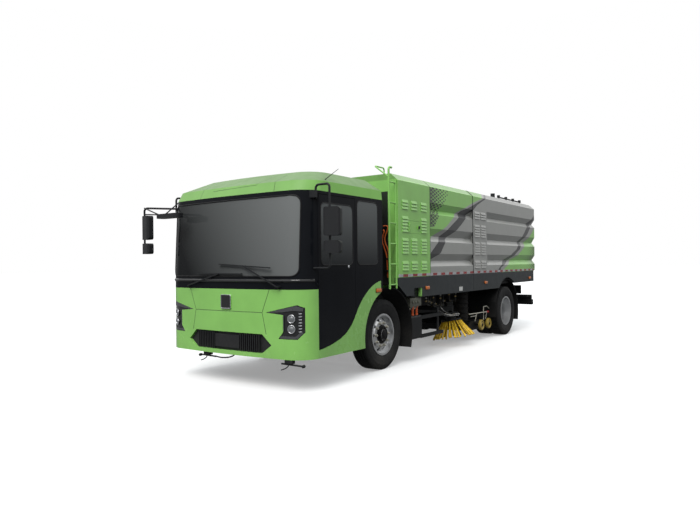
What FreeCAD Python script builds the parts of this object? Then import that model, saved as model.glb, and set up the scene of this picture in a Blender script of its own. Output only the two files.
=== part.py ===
import FreeCAD, Part
import math
import os
import Sketcher
from FreeCAD import Vector

# Street sweeper truck at its real size, in millimetres.
# X points to the vehicle's left, Y to its rear and Z up. The ground is at Z zero.
# Every sub-part is drawn with Y zero at the front axle, and its Placement moves it so that the whole
# truck is centred on the origin.

SIZES = {
    # Chassis layout
    "wheelbase": 4850,
    "front_overhang": 2004,
    "mirror_lead": 220,
    "tail_reach": 1920,
    "body_half_width": 1250,
    "rail_half_gap": 345,
    "rail_width": 80,
    "rail_wall": 10,
    "rail_bottom": 740,
    "rail_top": 990,
    "low_rail_bottom": 400,
    "low_rail_top": 585,
    "rail_front": -1700,
    "kick_front": -640,
    "kick_rear": -200,
    "rail_rear": 6450,
    "subframe_top": 1045,
    "subframe_front": 260,
    "subframe_rear": 6270,
    "tow_half_width": 50,
    "tow_reach": 90,
    "tow_gap": 50,
    "tow_ear": 20,
    "tow_bore": 20.5,
    "cross_depth": 100,
    "cross_inset": 15,
    "cylinder_cross_lead": 150,
    "axle_cross_lead": 500,
    "cab_post_foot": 100,
    # Wheels
    "tyre_radius": 510,
    "tread_half_width": 112,
    "shoulder_drop": 6,
    "tread_crown_radius": 1700,
    "sidewall_radius": 170,
    "bead_half_width": 100,
    "bead_clearance": 1.5,
    "rim_radius": 286,
    "rim_wall": 10,
    "flange_radius": 302,
    "flange_half_width": 118,
    "flange_lip": 8,
    "front_track_half": 1010,
    "rear_track_half": 930,
    "dual_half_spacing": 157.5,
    "stud_circle": 167.5,
    "stud_radius": 15,
    "stud_height": 30,
    "hand_hole_circle": 222,
    "hand_hole_radius": 27,
    "disc_wall": 14,
    "front_disc_face": 92,
    "front_hub_radius": 95,
    "front_hub_back": 75,
    "front_cap_radius": 74,
    "front_cap_face": 136,
    "front_bore_end": 68,
    "disc_bolt_radius": 198,
    "disc_root_radius": 250,
    "disc_root_depth": 40,
    "rear_hub_radius": 128,
    "rear_hub_face": 120,
    "rear_hub_back": 142,
    "rear_bore_end": 75,
    "rear_disc_dish": 36,
    "running_clearance": 0.05,
    # Front axle and knuckles
    "kingpin_half_track": 850,
    "kingpin_radius": 24,
    "kingpin_half_length": 108,
    "eye_radius": 45,
    "eye_half_height": 50,
    "beam_half_depth": 42,
    "beam_drop": 60,
    "beam_height": 82,
    "beam_rise_start": 590,
    "beam_rise_end": 720,
    "beam_end": 830,
    "lug_thickness": 36,
    "lug_clearance": 2,
    "knuckle_half_width": 45,
    "web_clearance": 6,
    "web_thickness": 34,
    "spindle_radius": 38,
    "spindle_end": 1068,
    # Rear axle
    "axle_tube_radius": 68,
    "diff_radius": 185,
    "diff_half_width": 150,
    "diff_shoulder": 240,
    "rear_spindle_radius": 58,
    "rear_spindle_start": 740,
    "rear_spindle_end": 998,
    "motor_half_width": 190,
    "motor_length": 380,
    "motor_gap": 0.3,
    "motor_height": 330,
    "motor_drop": 150,
    # Leaf springs
    "spring_x": 470,
    "spring_half_width": 38,
    "spring_thickness": 46,
    "front_spring_half_length": 600,
    "rear_spring_half_length": 720,
    "spring_camber": 60,
    "rear_spring_thickness": 90,
    "rear_spring_camber": 40,
    "spring_eye_radius": 26,
    "hanger_width": 60,
    # Cab shell
    "cab_bottom": 400,
    "cab_rear": -195,
    "corner_width": 300,
    "corner_depth": 270,
    "corner_radius": 300,
    "nose_bow": 44,
    "belt_height": 1365,
    "windscreen_rake": 60,
    "cab_top": 2440,
    "cab_wall": 50,
    "glass_wall": 10,
    "nose_top": 1240,
    "arch_radius": 670,
    "cab_floor": 640,
    "seat_floor": 1200,
    "floor_wall": 40,
    "floor_rear_foot": -800,
    "floor_rear_head": -720,
    "floor_front": -1960,
    # Cab doors, sill curve points along the side
    "door_front": -1680,
    "door_rear": -880,
    "door_top": 2400,
    "door_gap": 6,
    "sill_front_z": 505,
    "sill_mid_y": -1171,
    "sill_mid_z": 619,
    "sill_door_z": 873,
    "sill_rise_y": -529,
    "sill_rise_z": 1203,
    "sill_rear_z": 1300,
    "sill_front_radius": 1762,
    "sill_turn_radius": 685,
    "sill_crest_radius": 1026,
    "sill_rear_radius": 773,
    "door_window_front": -1625,
    "door_window_rear": -938,
    "door_window_bottom": 1530,
    "door_window_top": 2300,
    "window_corner": 70,
    "quarter_front": -835,
    "quarter_rear": -322,
    "quarter_bottom": 1530,
    "quarter_top": 2385,
    "screen_half_width": 1130,
    "screen_bottom": 1400,
    "screen_top": 2380,
    "screen_corner": 90,
    "hinge_offset": 12,
    "hinge_radius": 11,
    "hinge_pin_radius": 5,
    "hinge_height": 60,
    "hinge_leaf": 40,
    "hinge_leaf_wall": 14,
    "door_hinge_low": 1290,
    "door_hinge_high": 2330,
    # Roof cap
    "roof_side_top": 2570,
    "roof_top": 2730,
    "roof_wall": 25,
    "roof_front_lean": 70,
    "roof_side_lean": 12,
    "roof_crown_front": 420,
    "roof_crown_side": 230,
    "roof_crown_rear": 90,
    "beacon_radius": 32,
    "beacon_height": 70,
    "beacon_x": 620,
    "beacon_y": -900,
    # Nose openings
    "grille_half_width": 745,
    "grille_shoulder": 600,
    "grille_tip_z": 560,
    "grille_top": 690,
    "grille_bottom": 455,
    "grille_recess": 34,
    "grille_centre_half": 230,
    "rib_pitch": 34,
    "rib_width": 12,
    "lamp_inner_x": 660,
    "lamp_outer_x": 1180,
    "lamp_inner_z": 958,
    "lamp_crest_x": 1110,
    "lamp_crest_z": 1058,
    "lamp_side_z": 1024,
    "lamp_bottom_z": 645,
    "lamp_low_inner_x": 850,
    "lamp_low_outer_x": 1110,
    "lamp_step_x": 920,
    "lamp_step_z": 935,
    "lamp_low_step_z": 728,
    "lamp_depth": 30,
    "lens_x": 1040,
    "lens_high_z": 893,
    "lens_low_z": 770,
    "lens_radius": 50,
    "lamp_recess": 12,
    "lens_recess": 4,
    "plinth_half_width": 90,
    "plinth_bottom": 988,
    "plinth_top": 1167,
    "plinth_depth": 12,
    # Wipers
    "wiper_left_x": 887,
    "wiper_left_toe_x": -111,
    "wiper_left_toe_z": 1558,
    "wiper_left_heel_x": 771,
    "wiper_left_heel_z": 1506,
    "wiper_right_x": -723,
    "wiper_right_toe_x": 295,
    "wiper_right_toe_z": 1433,
    "wiper_right_heel_x": -531,
    "wiper_right_heel_z": 1436,
    "wiper_pivot_z": 1275,
    "wiper_bar": 14,
    "wiper_gap": 3,
    # Mirrors
    "mirror_width": 215,
    "mirror_height": 340,
    "mirror_small_height": 150,
    "mirror_depth": 90,
    "mirror_y": -1790,
    "mirror_x": 1530,
    "mirror_turn": 15,
    "mirror_corner": 36,
    "mirror_big_z": 1878,
    "mirror_small_z": 1672,
    "mirror_rod_x": 1480,
    "mirror_low_z": 1497,
    "mirror_foot_inset": 60,
    "mirror_hook_x": 1275,
    "mirror_hook_z": 2430,
    "mirror_bracket_height": 85,
    "mirror_hook_rise": 65,
    "mirror_bend": 45,
    "mirror_brace_drop": 5,
    "right_mirror_x": 1545,
    "right_mirror_y": -2105,
    "right_big_z": 1920,
    "right_small_z": 1716,
    "right_rod_x": 1600,
    "right_arm_y": -1720,
    "right_arm_z": 2361,
    "right_arm_gap": 90,
    "roof_arm_x": 1335,
    "roof_arm_y": -1590,
    "roof_arm_z": 2530,
    "dish_inner": 708,
    "dish_outer": 1149,
    "dish_depth": 150,
    "dish_round": 60,
    "dish_z": 2192,
    "dish_height": 58,
    "mirror_tube_radius": 14,
    # Cab interior
    "dash_half_width": 1095,
    "dash_front": -1835,
    "dash_rear": -1520,
    "dash_bottom": 1010,
    "dash_top": 1370,
    "dash_slope": 110,
    "console_half_width": 220,
    "steering_x": 520,
    "steering_y": -1330,
    "steering_z": 1480,
    "steering_radius": 225,
    "steering_rim_radius": 16,
    "steering_tilt": 28,
    "column_radius": 32,
    "spoke_width": 48,
    "seat_x": 560,
    "seat_half_width": 240,
    "seat_foot_half": 168,
    "seat_round": 43,
    "headrest_inset": 30,
    "headrest_round": 40,
    "seat_front": -700,
    "seat_back": -300,
    "seat_base": 90,
    "cushion_height": 130,
    "backrest_height": 620,
    "backrest_thickness": 120,
    "headrest_height": 170,
    "headrest_half_width": 130,
    # Body cross-section
    "roof_drop": 105,
    "roof_height": 2885,
    "roof_chamfer": 120,
    "panel_bottom": 1330,
    "lower_half_width": 1180,
    "groove_depth": 70,
    # Body lengths
    "service_front": 250,
    "tank_front": 1285,
    "tank_rear": 3030,
    "hopper_front": 3040,
    "pillar_rear": 3715,
    "hopper_rear": 6600,
    "door_plane": 6606,
    "door_back": 6690,
    "service_floor": 1215,
    "keel_half_width": 425,
    "hopper_floor": 1230,
    "hopper_wall": 80,
    "hopper_floor_wall": 60,
    "bearer_bottom": 1050,
    # Louvres and access door
    "louvre_lift": 14,
    "louvre_pitch": 48,
    "louvre_lip": 4,
    "service_louvre_1": 371,
    "service_louvre_2": 652,
    "service_louvre_3": 972,
    "service_louvre_width": 181,
    "pillar_louvre_1": 3110,
    "pillar_louvre_2": 3410,
    "pillar_louvre_width": 235,
    "access_front": 578,
    "access_rear": 922,
    "access_depth": 160,
    "access_wall": 20,
    "access_gap": 3,
    "latch_width": 36,
    "latch_height": 60,
    # Hopper hinge and tipping cylinder
    "tip_y": 6360,
    "tip_z": 1050,
    "tip_pin_radius": 25,
    "tip_boss_radius": 45,
    "tip_ear_wall": 14,
    "tip_ear_gap": 6,
    "cylinder_y": 3960,
    "cylinder_z": 720,
    "rod_eye_y": 5000,
    "rod_eye_z": 1130,
    "barrel_radius": 60,
    "barrel_start": 75,
    "barrel_neck_radius": 36,
    "barrel_end": 940,
    "rod_radius": 35,
    "rod_start": 110,
    "barrel_floor": 40,
    "cylinder_eye_radius": 42,
    "cylinder_eye_half": 40,
    "cylinder_pin_radius": 20,
    "clevis_gap": 8,
    "clevis_wall": 16,
    "clevis_half_length": 55,
    "clevis_reach": 60,
    # Rear door hinge
    "door_axis_y": 6612,
    "door_axis_lift": 23,
    "door_knuckle_radius": 17,
    "door_pin_radius": 9,
    "door_knuckle_length": 60,
    "door_knuckle_x": 720,
    "door_strap": 14,
    "door_strap_reach": 51,
    # Skirts
    "skirt_bottom": 1010,
    "skirt_front_z": 1211,
    "skirt_front_step_y": 500,
    "skirt_front_step_z": 1040,
    "notch_front": 725,
    "notch_rear": 994,
    "notch_top": 1156,
    "tail_skirt_z": 1083,
    "rear_arch_radius": 705,
    "side_lamp_length": 90,
    "side_lamp_height": 34,
    "side_lamp_depth": 14,
    "side_lamp_z": 1150,
    "side_lamp_front_y": 1158,
    "side_lamp_mid_y": 3622,
    "side_lamp_rear_y": 6282,
    # Mudguards
    "front_guard_radius": 675,
    "guard_wall": 10,
    "front_guard_inner": 860,
    "guard_outer": 1235,
    "front_guard_top_angle": 78,
    "front_guard_low_angle": -22,
    "guard_stay_width": 60,
    "rear_guard_radius": 686,
    "guard_flap_bottom": 425,
    "rear_guard_inner": 620,
    "rear_guard_front_angle": 162,
    "rear_guard_rear_angle": -20,
    # Side lockers and guard rails
    "locker_front": 700,
    "locker_rear": 1040,
    "locker_bottom": 350,
    "locker_top": 719,
    "locker_inner": 700,
    "locker_outer": 1210,
    "guard_rear": 1812,
    "guard_bar_depth": 34,
    "guard_bar_height": 54,
    "guard_high_z": 650,
    "guard_low_z": 350,
    "guard_arm": 50,
    "guard_post_inset": 150,
    # Ladder
    "ladder_x": 1225,
    "ladder_width": 190,
    "ladder_stand_off": 20,
    "ladder_tube": 16,
    "ladder_rung_radius": 11,
    "ladder_bottom": 1170,
    "ladder_rise": 60,
    "grab_rise": 98,
    "grab_foot_drop": 85,
    "grab_reach": 240,
    "grab_seat": 60,
    "ladder_bend": 40,
    "ladder_rung_pitch": 300,
    "ladder_rung_first": 1230,
    # Pipe frame behind the cab
    "pipe_frame_x": 620,
    "pipe_frame_y": -40,
    "pipe_frame_bar": 60,
    "pipe_frame_top": 2250,
    "pipe_frame_mid": 1560,
    "pipe_radius": 55,
    "pipe_x": 297.5,
    # Cables
    "cable_radius": 13,
    "cable_x": 690,
    "cable_pitch": 60,
    "cable_z": 1300,
    "cable_front": -10,
    "cable_bend": 90,
    "cable_box_bottom": 1050,
    "cable_box_top": 1120,
    "cable_box_outer": 840,
    # Roof rail on the hopper
    "roof_rail_x": 1000,
    "roof_rail_front": 5000,
    "roof_rail_rear": 6450,
    "roof_rail_height": 70,
    "roof_rail_bar": 40,
    "roof_post_pitch": 450,
    "roof_lamp_y": 4700,
    "roof_lamp_radius": 45,
    "roof_lamp_height": 110,
    # Brushes
    "brush_x": 870,
    "brush_y": 2850,
    "brush_z": 455,
    "brush_tilt": 10,
    "brush_disc_radius": 190,
    "brush_disc_wall": 28,
    "tuft_root_inner": 130,
    "tuft_root_outer": 186,
    "tuft_tip_inner": 300,
    "tuft_tip_outer": 372,
    "tuft_length": 330,
    "tuft_width": 26,
    "brush_shaft_radius": 20,
    "brush_shaft_grip": 20,
    "brush_motor_radius": 95,
    "brush_motor_height": 120,
    "brush_gap": 5,
    "arm_pivot_x": 520,
    "arm_pivot_y": 1950,
    "arm_pin_radius": 28,
    "arm_boss_radius": 55,
    "arm_half_height": 45,
    "arm_beam_width": 70,
    "arm_z": 690,
    "arm_beam_height": 80,
    "arm_gap": 2,
    # Suction nozzle
    "nozzle_front": 3330,
    "nozzle_rear": 4120,
    "nozzle_half_width": 1010,
    "nozzle_bottom": 215,
    "nozzle_top": 395,
    "nozzle_wall": 12,
    "nozzle_slope": 120,
    "nozzle_wheel_x": 1110,
    "nozzle_wheel_z": 305,
    "nozzle_wheel_radius": 104,
    "nozzle_wheel_half": 26,
    "nozzle_wheel_round": 9,
    "nozzle_wheel_front_y": 3720,
    "nozzle_wheel_rear_y": 4090,
    "nozzle_axle_radius": 14,
    "nozzle_bracket": 40,
    "hanger_y": 3480,
    "hanger_bar": 40,
    "hose_x": 760,
    "hose_y": 3560,
    "hose_radius": 130,
    "hose_wall": 12,
    "hose_top": 1224,
    "hose_rib": 12,
    "hose_rib_pitch": 90,
    # Rear under-run bar and tail lamps
    "underrun_bottom": 520,
    "underrun_top": 640,
    "underrun_front": 6650,
    "underrun_half_width": 1180,
    "underrun_arm": 80,
    "plate_half_x": 105,
    "plate_half_z": 30,
    "plate_hole": 3.5,
    "tail_lamp_height": 110,
    "tail_lamp_inner": 760,
    "tail_lamp_outer": 1150,
    "tail_lamp_depth": 70,
    # Overrun of cutting tools past the faces that they cut
    "overrun": 60,
}

TYRE_STUDS = 10
HAND_HOLES = 10
TUFTS = 26
SERVICE_LOUVRES = (3, 5, 5, 3)
MIDDLE_LOUVRES = (3, 5, 3)
LADDER_RUNGS = 6
# Heights on the body's side, as shares of its panel from foot to roof edge.
GROOVE_SHARES = (0.1055, 0.1697, 0.2469,
                 0.3848, 0.4483, 0.5324,
                 0.6945, 0.7483, 0.8241)
LOUVRE_SHARES = (0.0697, 0.2441, 0.4717, 0.7083)
MIDDLE_LOUVRE_SHARES = (0.0697, 0.2441, 0.7083)
ACCESS_SHARES = (0.4614, 0.5931)

doc = FreeCAD.newDocument("StreetSweeper")
sheet = doc.addObject("Spreadsheet::Sheet", "Sizes")
for row, (alias, value) in enumerate(SIZES.items(), start=1):
    sheet.set(f"A{row}", alias.replace("_", " "))
    sheet.set(f"B{row}", str(value))
    sheet.setAlias(f"B{row}", alias)
doc.recompute()


class Size:
    """A size with the sheet expression that gives it."""

    def __init__(self, value, text):
        self.value = float(value)
        self.text = text

    def __add__(self, other):
        other = size_of(other)
        return Size(self.value + other.value, f"({self.text} + {other.text})")

    def __radd__(self, other):
        return size_of(other) + self

    def __sub__(self, other):
        other = size_of(other)
        return Size(self.value - other.value, f"({self.text} - {other.text})")

    def __rsub__(self, other):
        return size_of(other) - self

    def __mul__(self, other):
        other = size_of(other)
        return Size(self.value * other.value, f"({self.text} * {other.text})")

    def __rmul__(self, other):
        return size_of(other) * self

    def __truediv__(self, other):
        other = size_of(other)
        return Size(self.value / other.value, f"({self.text} / {other.text})")

    def __neg__(self):
        return Size(-self.value, f"(0 - {self.text})")

    def __float__(self):
        return self.value


def size_of(number):
    """Wraps a plain number, and passes a Size through."""
    return number if isinstance(number, Size) else Size(number, repr(float(number)))


class Cells:
    """Reads each cell of the sheet as a Size, by its alias."""

    def __getattr__(self, alias):
        return Size(SIZES[alias], f"Sizes.{alias}")


S = Cells()
ZERO = Size(0, "0")
# The truck's Y centre lies halfway between the mirrors in front and the tail.
FRONT_AXLE_Y = (S.front_overhang + S.mirror_lead - S.wheelbase - S.tail_reach) / 2
BODY_TOP = S.roof_height - S.roof_drop
DOOR_AXIS_Z = S.roof_height + S.door_axis_lift
nodes = {}


def bind(obj, prop, size):
    """Ties one property of an object to the sheet."""
    obj.setExpression(prop, size_of(size).text)


def unique(kind, name):
    return doc.addObject(kind, name)


def node(obj, name, x=ZERO, y=ZERO, z=ZERO, turn=None):
    """Registers a finished sub-part and places it in the truck."""
    if turn is not None:
        obj.Placement = FreeCAD.Placement(Vector(), FreeCAD.Rotation(*turn))
    bind(obj, "Placement.Base.x", x)
    bind(obj, "Placement.Base.y", FRONT_AXLE_Y + y)
    bind(obj, "Placement.Base.z", z)
    obj.Label = name
    nodes[name] = obj
    return obj


def mirror_node(source, name):
    """Registers the mirror image of a sub-part that already stands in its place."""
    obj = mirror(source.Name + "Right", source)
    obj.Label = name
    nodes[name] = obj
    return obj


# Outlines are lists of points. An arc between two points is written as Arc(radius) for a left turn
# and Arc(radius, left=False) for a right turn.
class Arc:
    def __init__(self, radius, left=True):
        self.radius = size_of(radius)
        self.left = left


class Ring:
    """A full circle in an outline list."""

    def __init__(self, x, y, radius):
        self.x = size_of(x)
        self.y = size_of(y)
        self.radius = size_of(radius)


def fix_point(sketch, geo, pos, x, y):
    """Holds one end of a sketch line at its distances from the sketch origin."""
    for axis, size in (("DistanceX", x), ("DistanceY", y)):
        index = sketch.addConstraint(Sketcher.Constraint(axis, -1, 1, geo, pos, size.value))
        sketch.setExpression(f"Constraints[{index}]", size.text)


def arc_between(start, end, radius, left):
    """The sketch arc from start to end that turns left or right."""
    chord = end - start
    half = chord.Length / 2
    normal = Vector(-chord.y, chord.x, 0).normalize()
    height = math.sqrt(max(radius * radius - half * half, 0))
    centre = (start + end) / 2 + normal * (height if left else -height)
    first, last = (start, end) if left else (end, start)
    low = math.atan2(first.y - centre.y, first.x - centre.x)
    high = math.atan2(last.y - centre.y, last.x - centre.x)
    if high < low:
        high += 2 * math.pi
    return Part.ArcOfCircle(Part.Circle(centre, Vector(0, 0, 1), radius), low, high)


def draw(sketch, outline):
    """Draws one closed outline, with every corner and radius bound to the sheet."""
    if isinstance(outline, Ring):
        centre = Vector(outline.x.value, outline.y.value, 0)
        geo = sketch.addGeometry(Part.Circle(centre, Vector(0, 0, 1), outline.radius.value), False)
        fix_point(sketch, geo, 3, outline.x, outline.y)
        index = sketch.addConstraint(Sketcher.Constraint("Radius", geo, outline.radius.value))
        sketch.setExpression(f"Constraints[{index}]", outline.radius.text)
        return
    points = []
    arcs = {}
    for item in outline:
        if isinstance(item, Arc):
            arcs[len(points) - 1] = item
        else:
            points.append((size_of(item[0]), size_of(item[1])))
    spots = [Vector(x.value, y.value, 0) for x, y in points]
    edges = []
    for i, start in enumerate(spots):
        end = spots[(i + 1) % len(spots)]
        if i in arcs:
            arc = arcs[i]
            geo = sketch.addGeometry(arc_between(start, end, arc.radius.value, arc.left), False)
            edges.append((geo, 1, 2) if arc.left else (geo, 2, 1))
        else:
            geo = sketch.addGeometry(Part.LineSegment(start, end), False)
            edges.append((geo, 1, 2))
    for i, (geo, head, tail) in enumerate(edges):
        before, _, before_tail = edges[i - 1]
        sketch.addConstraint(Sketcher.Constraint("Coincident", before, before_tail, geo, head))
        fix_point(sketch, geo, head, *points[i])
    for i, arc in arcs.items():
        index = sketch.addConstraint(Sketcher.Constraint("Radius", edges[i][0], arc.radius.value))
        sketch.setExpression(f"Constraints[{index}]", arc.radius.text)


def origin_item(body, role):
    return [item for item in body.Origin.OriginFeatures if item.Role == role][0]


def make_sketch(body, plane, level, outlines):
    """A sketch on one of the body's origin planes, moved to a level along the matching axis."""
    sketch = body.newObject("Sketcher::SketchObject", body.Name + "Sketch")
    sketch.AttachmentSupport = (origin_item(body, plane), [""])
    sketch.MapMode = "FlatFace"
    level = size_of(level)
    bind(sketch, "AttachmentOffset.Base.z", -level if plane == "XZ_Plane" else level)
    for outline in outlines:
        draw(sketch, outline)
    return sketch


def new_body(name):
    return unique("PartDesign::Body", name)


def extend(body, kind, plane, low, high, outlines):
    """Pads or pockets outlines between two levels along the plane's own axis."""
    backwards = plane == "XZ_Plane"
    start = high if backwards else low
    sketch = make_sketch(body, plane, start, outlines)
    feature = body.newObject("PartDesign::" + kind, body.Name + kind)
    feature.Profile = sketch
    bind(feature, "Length", size_of(high) - size_of(low))
    feature.Reversed = kind == "Pocket"
    body.Tip = feature
    return feature


def pad(body, plane, low, high, *outlines):
    return extend(body, "Pad", plane, low, high, outlines)


def pocket(body, plane, low, high, *outlines):
    return extend(body, "Pocket", plane, low, high, outlines)


def revolve(body, outline):
    """Turns a profile of (x, radius) points about the X axis."""
    sketch = make_sketch(body, "XY_Plane", ZERO, [outline])
    feature = body.newObject("PartDesign::Revolution", body.Name + "Revolution")
    feature.Profile = sketch
    feature.ReferenceAxis = (sketch, ["H_Axis"])
    feature.Angle = 360
    body.Tip = feature
    return feature


def polar(body, feature, axis, count):
    """Repeats one feature round an axis of the body."""
    pattern = body.newObject("PartDesign::PolarPattern", body.Name + "Polar")
    pattern.Originals = [feature]
    pattern.Axis = (origin_item(body, axis), [""])
    pattern.Angle = 360
    pattern.Occurrences = count
    body.Tip = pattern
    return pattern


def loft(body, low, low_outline, high, high_outline):
    """Lofts between two outlines at two heights."""
    first = make_sketch(body, "XY_Plane", low, [low_outline])
    second = make_sketch(body, "XY_Plane", high, [high_outline])
    feature = body.newObject("PartDesign::AdditiveLoft", body.Name + "Loft")
    feature.Profile = first
    feature.Sections = [second]
    feature.Ruled = True
    body.Tip = feature
    return feature


def prism(name, plane, low, high, *outlines):
    body = new_body(name)
    pad(body, plane, low, high, *outlines)
    return body


def rectangle(x0, x1, y0, y1):
    return [(x0, y0), (x1, y0), (x1, y1), (x0, y1)]


def rounded(x0, x1, y0, y1, radius):
    """A rectangle with four equal round corners."""
    return [(x0 + radius, y0), (x1 - radius, y0), Arc(radius), (x1, y0 + radius),
            (x1, y1 - radius), Arc(radius), (x1 - radius, y1),
            (x0 + radius, y1), Arc(radius), (x0, y1 - radius),
            (x0, y0 + radius), Arc(radius)]


def box(name, x0, x1, y0, y1, z0, z1):
    block = unique("Part::Box", name)
    x0, x1, y0, y1, z0, z1 = [size_of(side) for side in (x0, x1, y0, y1, z0, z1)]
    bind(block, "Length", x1 - x0)
    bind(block, "Width", y1 - y0)
    bind(block, "Height", z1 - z0)
    bind(block, "Placement.Base.x", x0)
    bind(block, "Placement.Base.y", y0)
    bind(block, "Placement.Base.z", z0)
    return block


TURNS = {"x": (Vector(0, 1, 0), 90), "y": (Vector(1, 0, 0), -90), "z": (Vector(0, 0, 1), 0)}


def rod(name, axis, x, y, z, radius, length):
    """A cylinder from a start point along one axis."""
    bar = unique("Part::Cylinder", name)
    bind(bar, "Radius", radius)
    bind(bar, "Height", length)
    bar.Placement = FreeCAD.Placement(Vector(), FreeCAD.Rotation(*TURNS[axis]))
    bind(bar, "Placement.Base.x", x)
    bind(bar, "Placement.Base.y", y)
    bind(bar, "Placement.Base.z", z)
    return bar


def cut(name, base, *tools):
    result = base
    for tool in tools:
        step = unique("Part::Cut", name)
        step.Base = result
        step.Tool = tool
        result = step
    return result


def common(name, base, tool):
    step = unique("Part::Common", name)
    step.Base = base
    step.Tool = tool
    return step


def fuse(name, *shapes):
    step = unique("Part::MultiFuse", name)
    step.Shapes = list(shapes)
    step.Refine = True
    return step


def group(name, *shapes):
    """Several solids that don't touch, kept in one sub-part."""
    step = unique("Part::Compound", name)
    step.Links = list(shapes)
    return step


def mirror(name, source):
    """The same shape on the vehicle's right side."""
    step = unique("Part::Mirroring", name)
    step.Source = source
    step.Normal = Vector(1, 0, 0)
    step.Base = Vector(0, 0, 0)
    return step


def both(name, source):
    """A shape and its mirror image as one sub-part of two solids."""
    return group(name, source, mirror(name + "Right", source))


def pipe(name, points, radius, bend):
    """A round tube solid along straight runs joined by tangent arcs."""
    spots = [Vector(*[float(size_of(part)) for part in point]) for point in points]
    bend = float(bend)
    edges = []
    start = spots[0]
    for before, corner, after in zip(spots, spots[1:], spots[2:]):
        into = (corner - before).normalize()
        out = (after - corner).normalize()
        half_turn = into.getAngle(out) / 2
        reach = bend * math.tan(half_turn)
        first = corner - into * reach
        last = corner + out * reach
        bisector = (out - into).normalize()
        centre = corner + bisector * (bend / math.cos(half_turn))
        middle = centre - bisector * bend
        edges.append(Part.LineSegment(start, first).toShape())
        edges.append(Part.Arc(first, middle, last).toShape())
        start = last
    edges.append(Part.LineSegment(start, spots[-1]).toShape())
    path = Part.Wire(edges)
    direction = (spots[1] - spots[0]).normalize()
    section = Part.Wire(Part.Circle(spots[0], direction, float(radius)).toShape())
    tube = unique("Part::Feature", name)
    tube.Shape = path.makePipeShell([section], True, True)
    return tube


# Chassis frame

def rail_outline(inset):
    """Side view of a frame rail, low under the cab and high behind it."""
    return [(S.rail_front + inset, S.low_rail_bottom + inset), (S.kick_front, S.low_rail_bottom + inset),
            (S.kick_rear, S.rail_bottom + inset), (S.rail_rear - inset, S.rail_bottom + inset),
            (S.rail_rear - inset, S.rail_top - inset), (S.kick_rear, S.rail_top - inset),
            (S.kick_front, S.low_rail_top - inset), (S.rail_front + inset, S.low_rail_top - inset)]


def cross_member(name, y, z_low, z_high):
    """A member between the two rails, let into their open sides."""
    reach = S.rail_half_gap + S.rail_width - S.rail_wall
    return box(name, -reach, reach, y, y + S.cross_depth, z_low, z_high)


def make_frame():
    outer = S.rail_half_gap + S.rail_width
    rail = new_body("FrameRail")
    pad(rail, "YZ_Plane", S.rail_half_gap, outer, rail_outline(ZERO))
    pocket(rail, "YZ_Plane", S.rail_half_gap - S.overrun, outer - S.rail_wall, rail_outline(S.rail_wall))
    pieces = [rail, mirror("FrameRailRight", rail)]
    inset = S.cross_inset
    for y in (S.rail_front, S.kick_front - S.cross_depth):
        pieces.append(cross_member("LowCross", y + inset, S.low_rail_bottom + inset, S.low_rail_top - inset))
    seats = (S.service_front, S.tank_front, S.arm_pivot_y, S.hopper_front, S.cylinder_y - S.cylinder_cross_lead,
             S.rod_eye_y + S.axle_cross_lead, S.tip_y - S.cross_depth * 2)
    for y in seats:
        pieces.append(cross_member("HighCross", y, S.rail_bottom + inset, S.rail_top - inset))
    for side in (1, -1):
        low = S.rail_half_gap if side > 0 else -outer
        pieces.append(box("Subframe", low, low + S.rail_width, S.subframe_front, S.subframe_rear,
                          S.rail_top, S.subframe_top))
        pieces += tip_ears(side)
        pieces += spring_hangers(side)
        pieces += arm_bracket(side)
    pieces += cylinder_clevis()
    pieces += cab_mounts()
    pieces += tow_jaw()
    node(fuse("Frame", *pieces), "frame_rails")


def tip_ears(side):
    """Ears and pin that carry the hopper's rear hinge on one rail."""
    centre = S.rail_half_gap + S.rail_width / 2
    half = S.rail_width / 2 - S.tip_ear_wall
    parts = []
    for offset in (-half - S.tip_ear_wall, half):
        low = (centre + offset) if side > 0 else -(centre + offset) - S.tip_ear_wall
        parts.append(box("TipEar", low, low + S.tip_ear_wall, S.tip_y - S.tip_boss_radius,
                         S.tip_y + S.tip_boss_radius, S.rail_top, S.tip_z + S.tip_boss_radius / 2))
    start = S.rail_half_gap if side > 0 else -S.rail_half_gap - S.rail_width
    parts.append(rod("TipPin", "x", start, S.tip_y, S.tip_z, S.tip_pin_radius, S.rail_width))
    return parts


def spring_ends():
    """Eye places of the front and rear springs, as (y, eye height, rail height above the eye)."""
    front = S.front_spring_half_length
    rear = S.rear_spring_half_length
    front_eye = front_spring_seat() + S.spring_thickness + S.spring_camber
    rear_eye = rear_spring_seat() + S.rear_spring_camber + S.rear_spring_thickness / 2
    return [(-front, front_eye, S.low_rail_top), (front, front_eye, S.rail_bottom),
            (S.wheelbase - rear, rear_eye, S.rail_bottom), (S.wheelbase + rear, rear_eye, S.rail_bottom)]


def front_spring_seat():
    return S.tyre_radius - S.beam_drop + S.beam_height / 2


def rear_spring_seat():
    return S.tyre_radius + S.axle_tube_radius


def spring_hangers(side):
    """Hangers on the rail's outer face, each with a pin through the spring's eye."""
    face = S.rail_half_gap + S.rail_width
    inner = S.spring_x - S.spring_half_width
    parts = []
    for y, eye, top in spring_ends():
        half = S.hanger_width / 2
        low = face - S.rail_wall
        high = inner - S.running_clearance
        x0, x1 = (low, high) if side > 0 else (-high, -low)
        parts.append(box("Hanger", x0, x1, y - half, y + half, eye - half, top + half))
        start = low if side > 0 else -S.spring_x - S.spring_half_width
        length = S.spring_x + S.spring_half_width - low
        parts.append(rod("HangerPin", "x", start, y, eye, S.spring_eye_radius / 2, length))
    return parts


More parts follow.
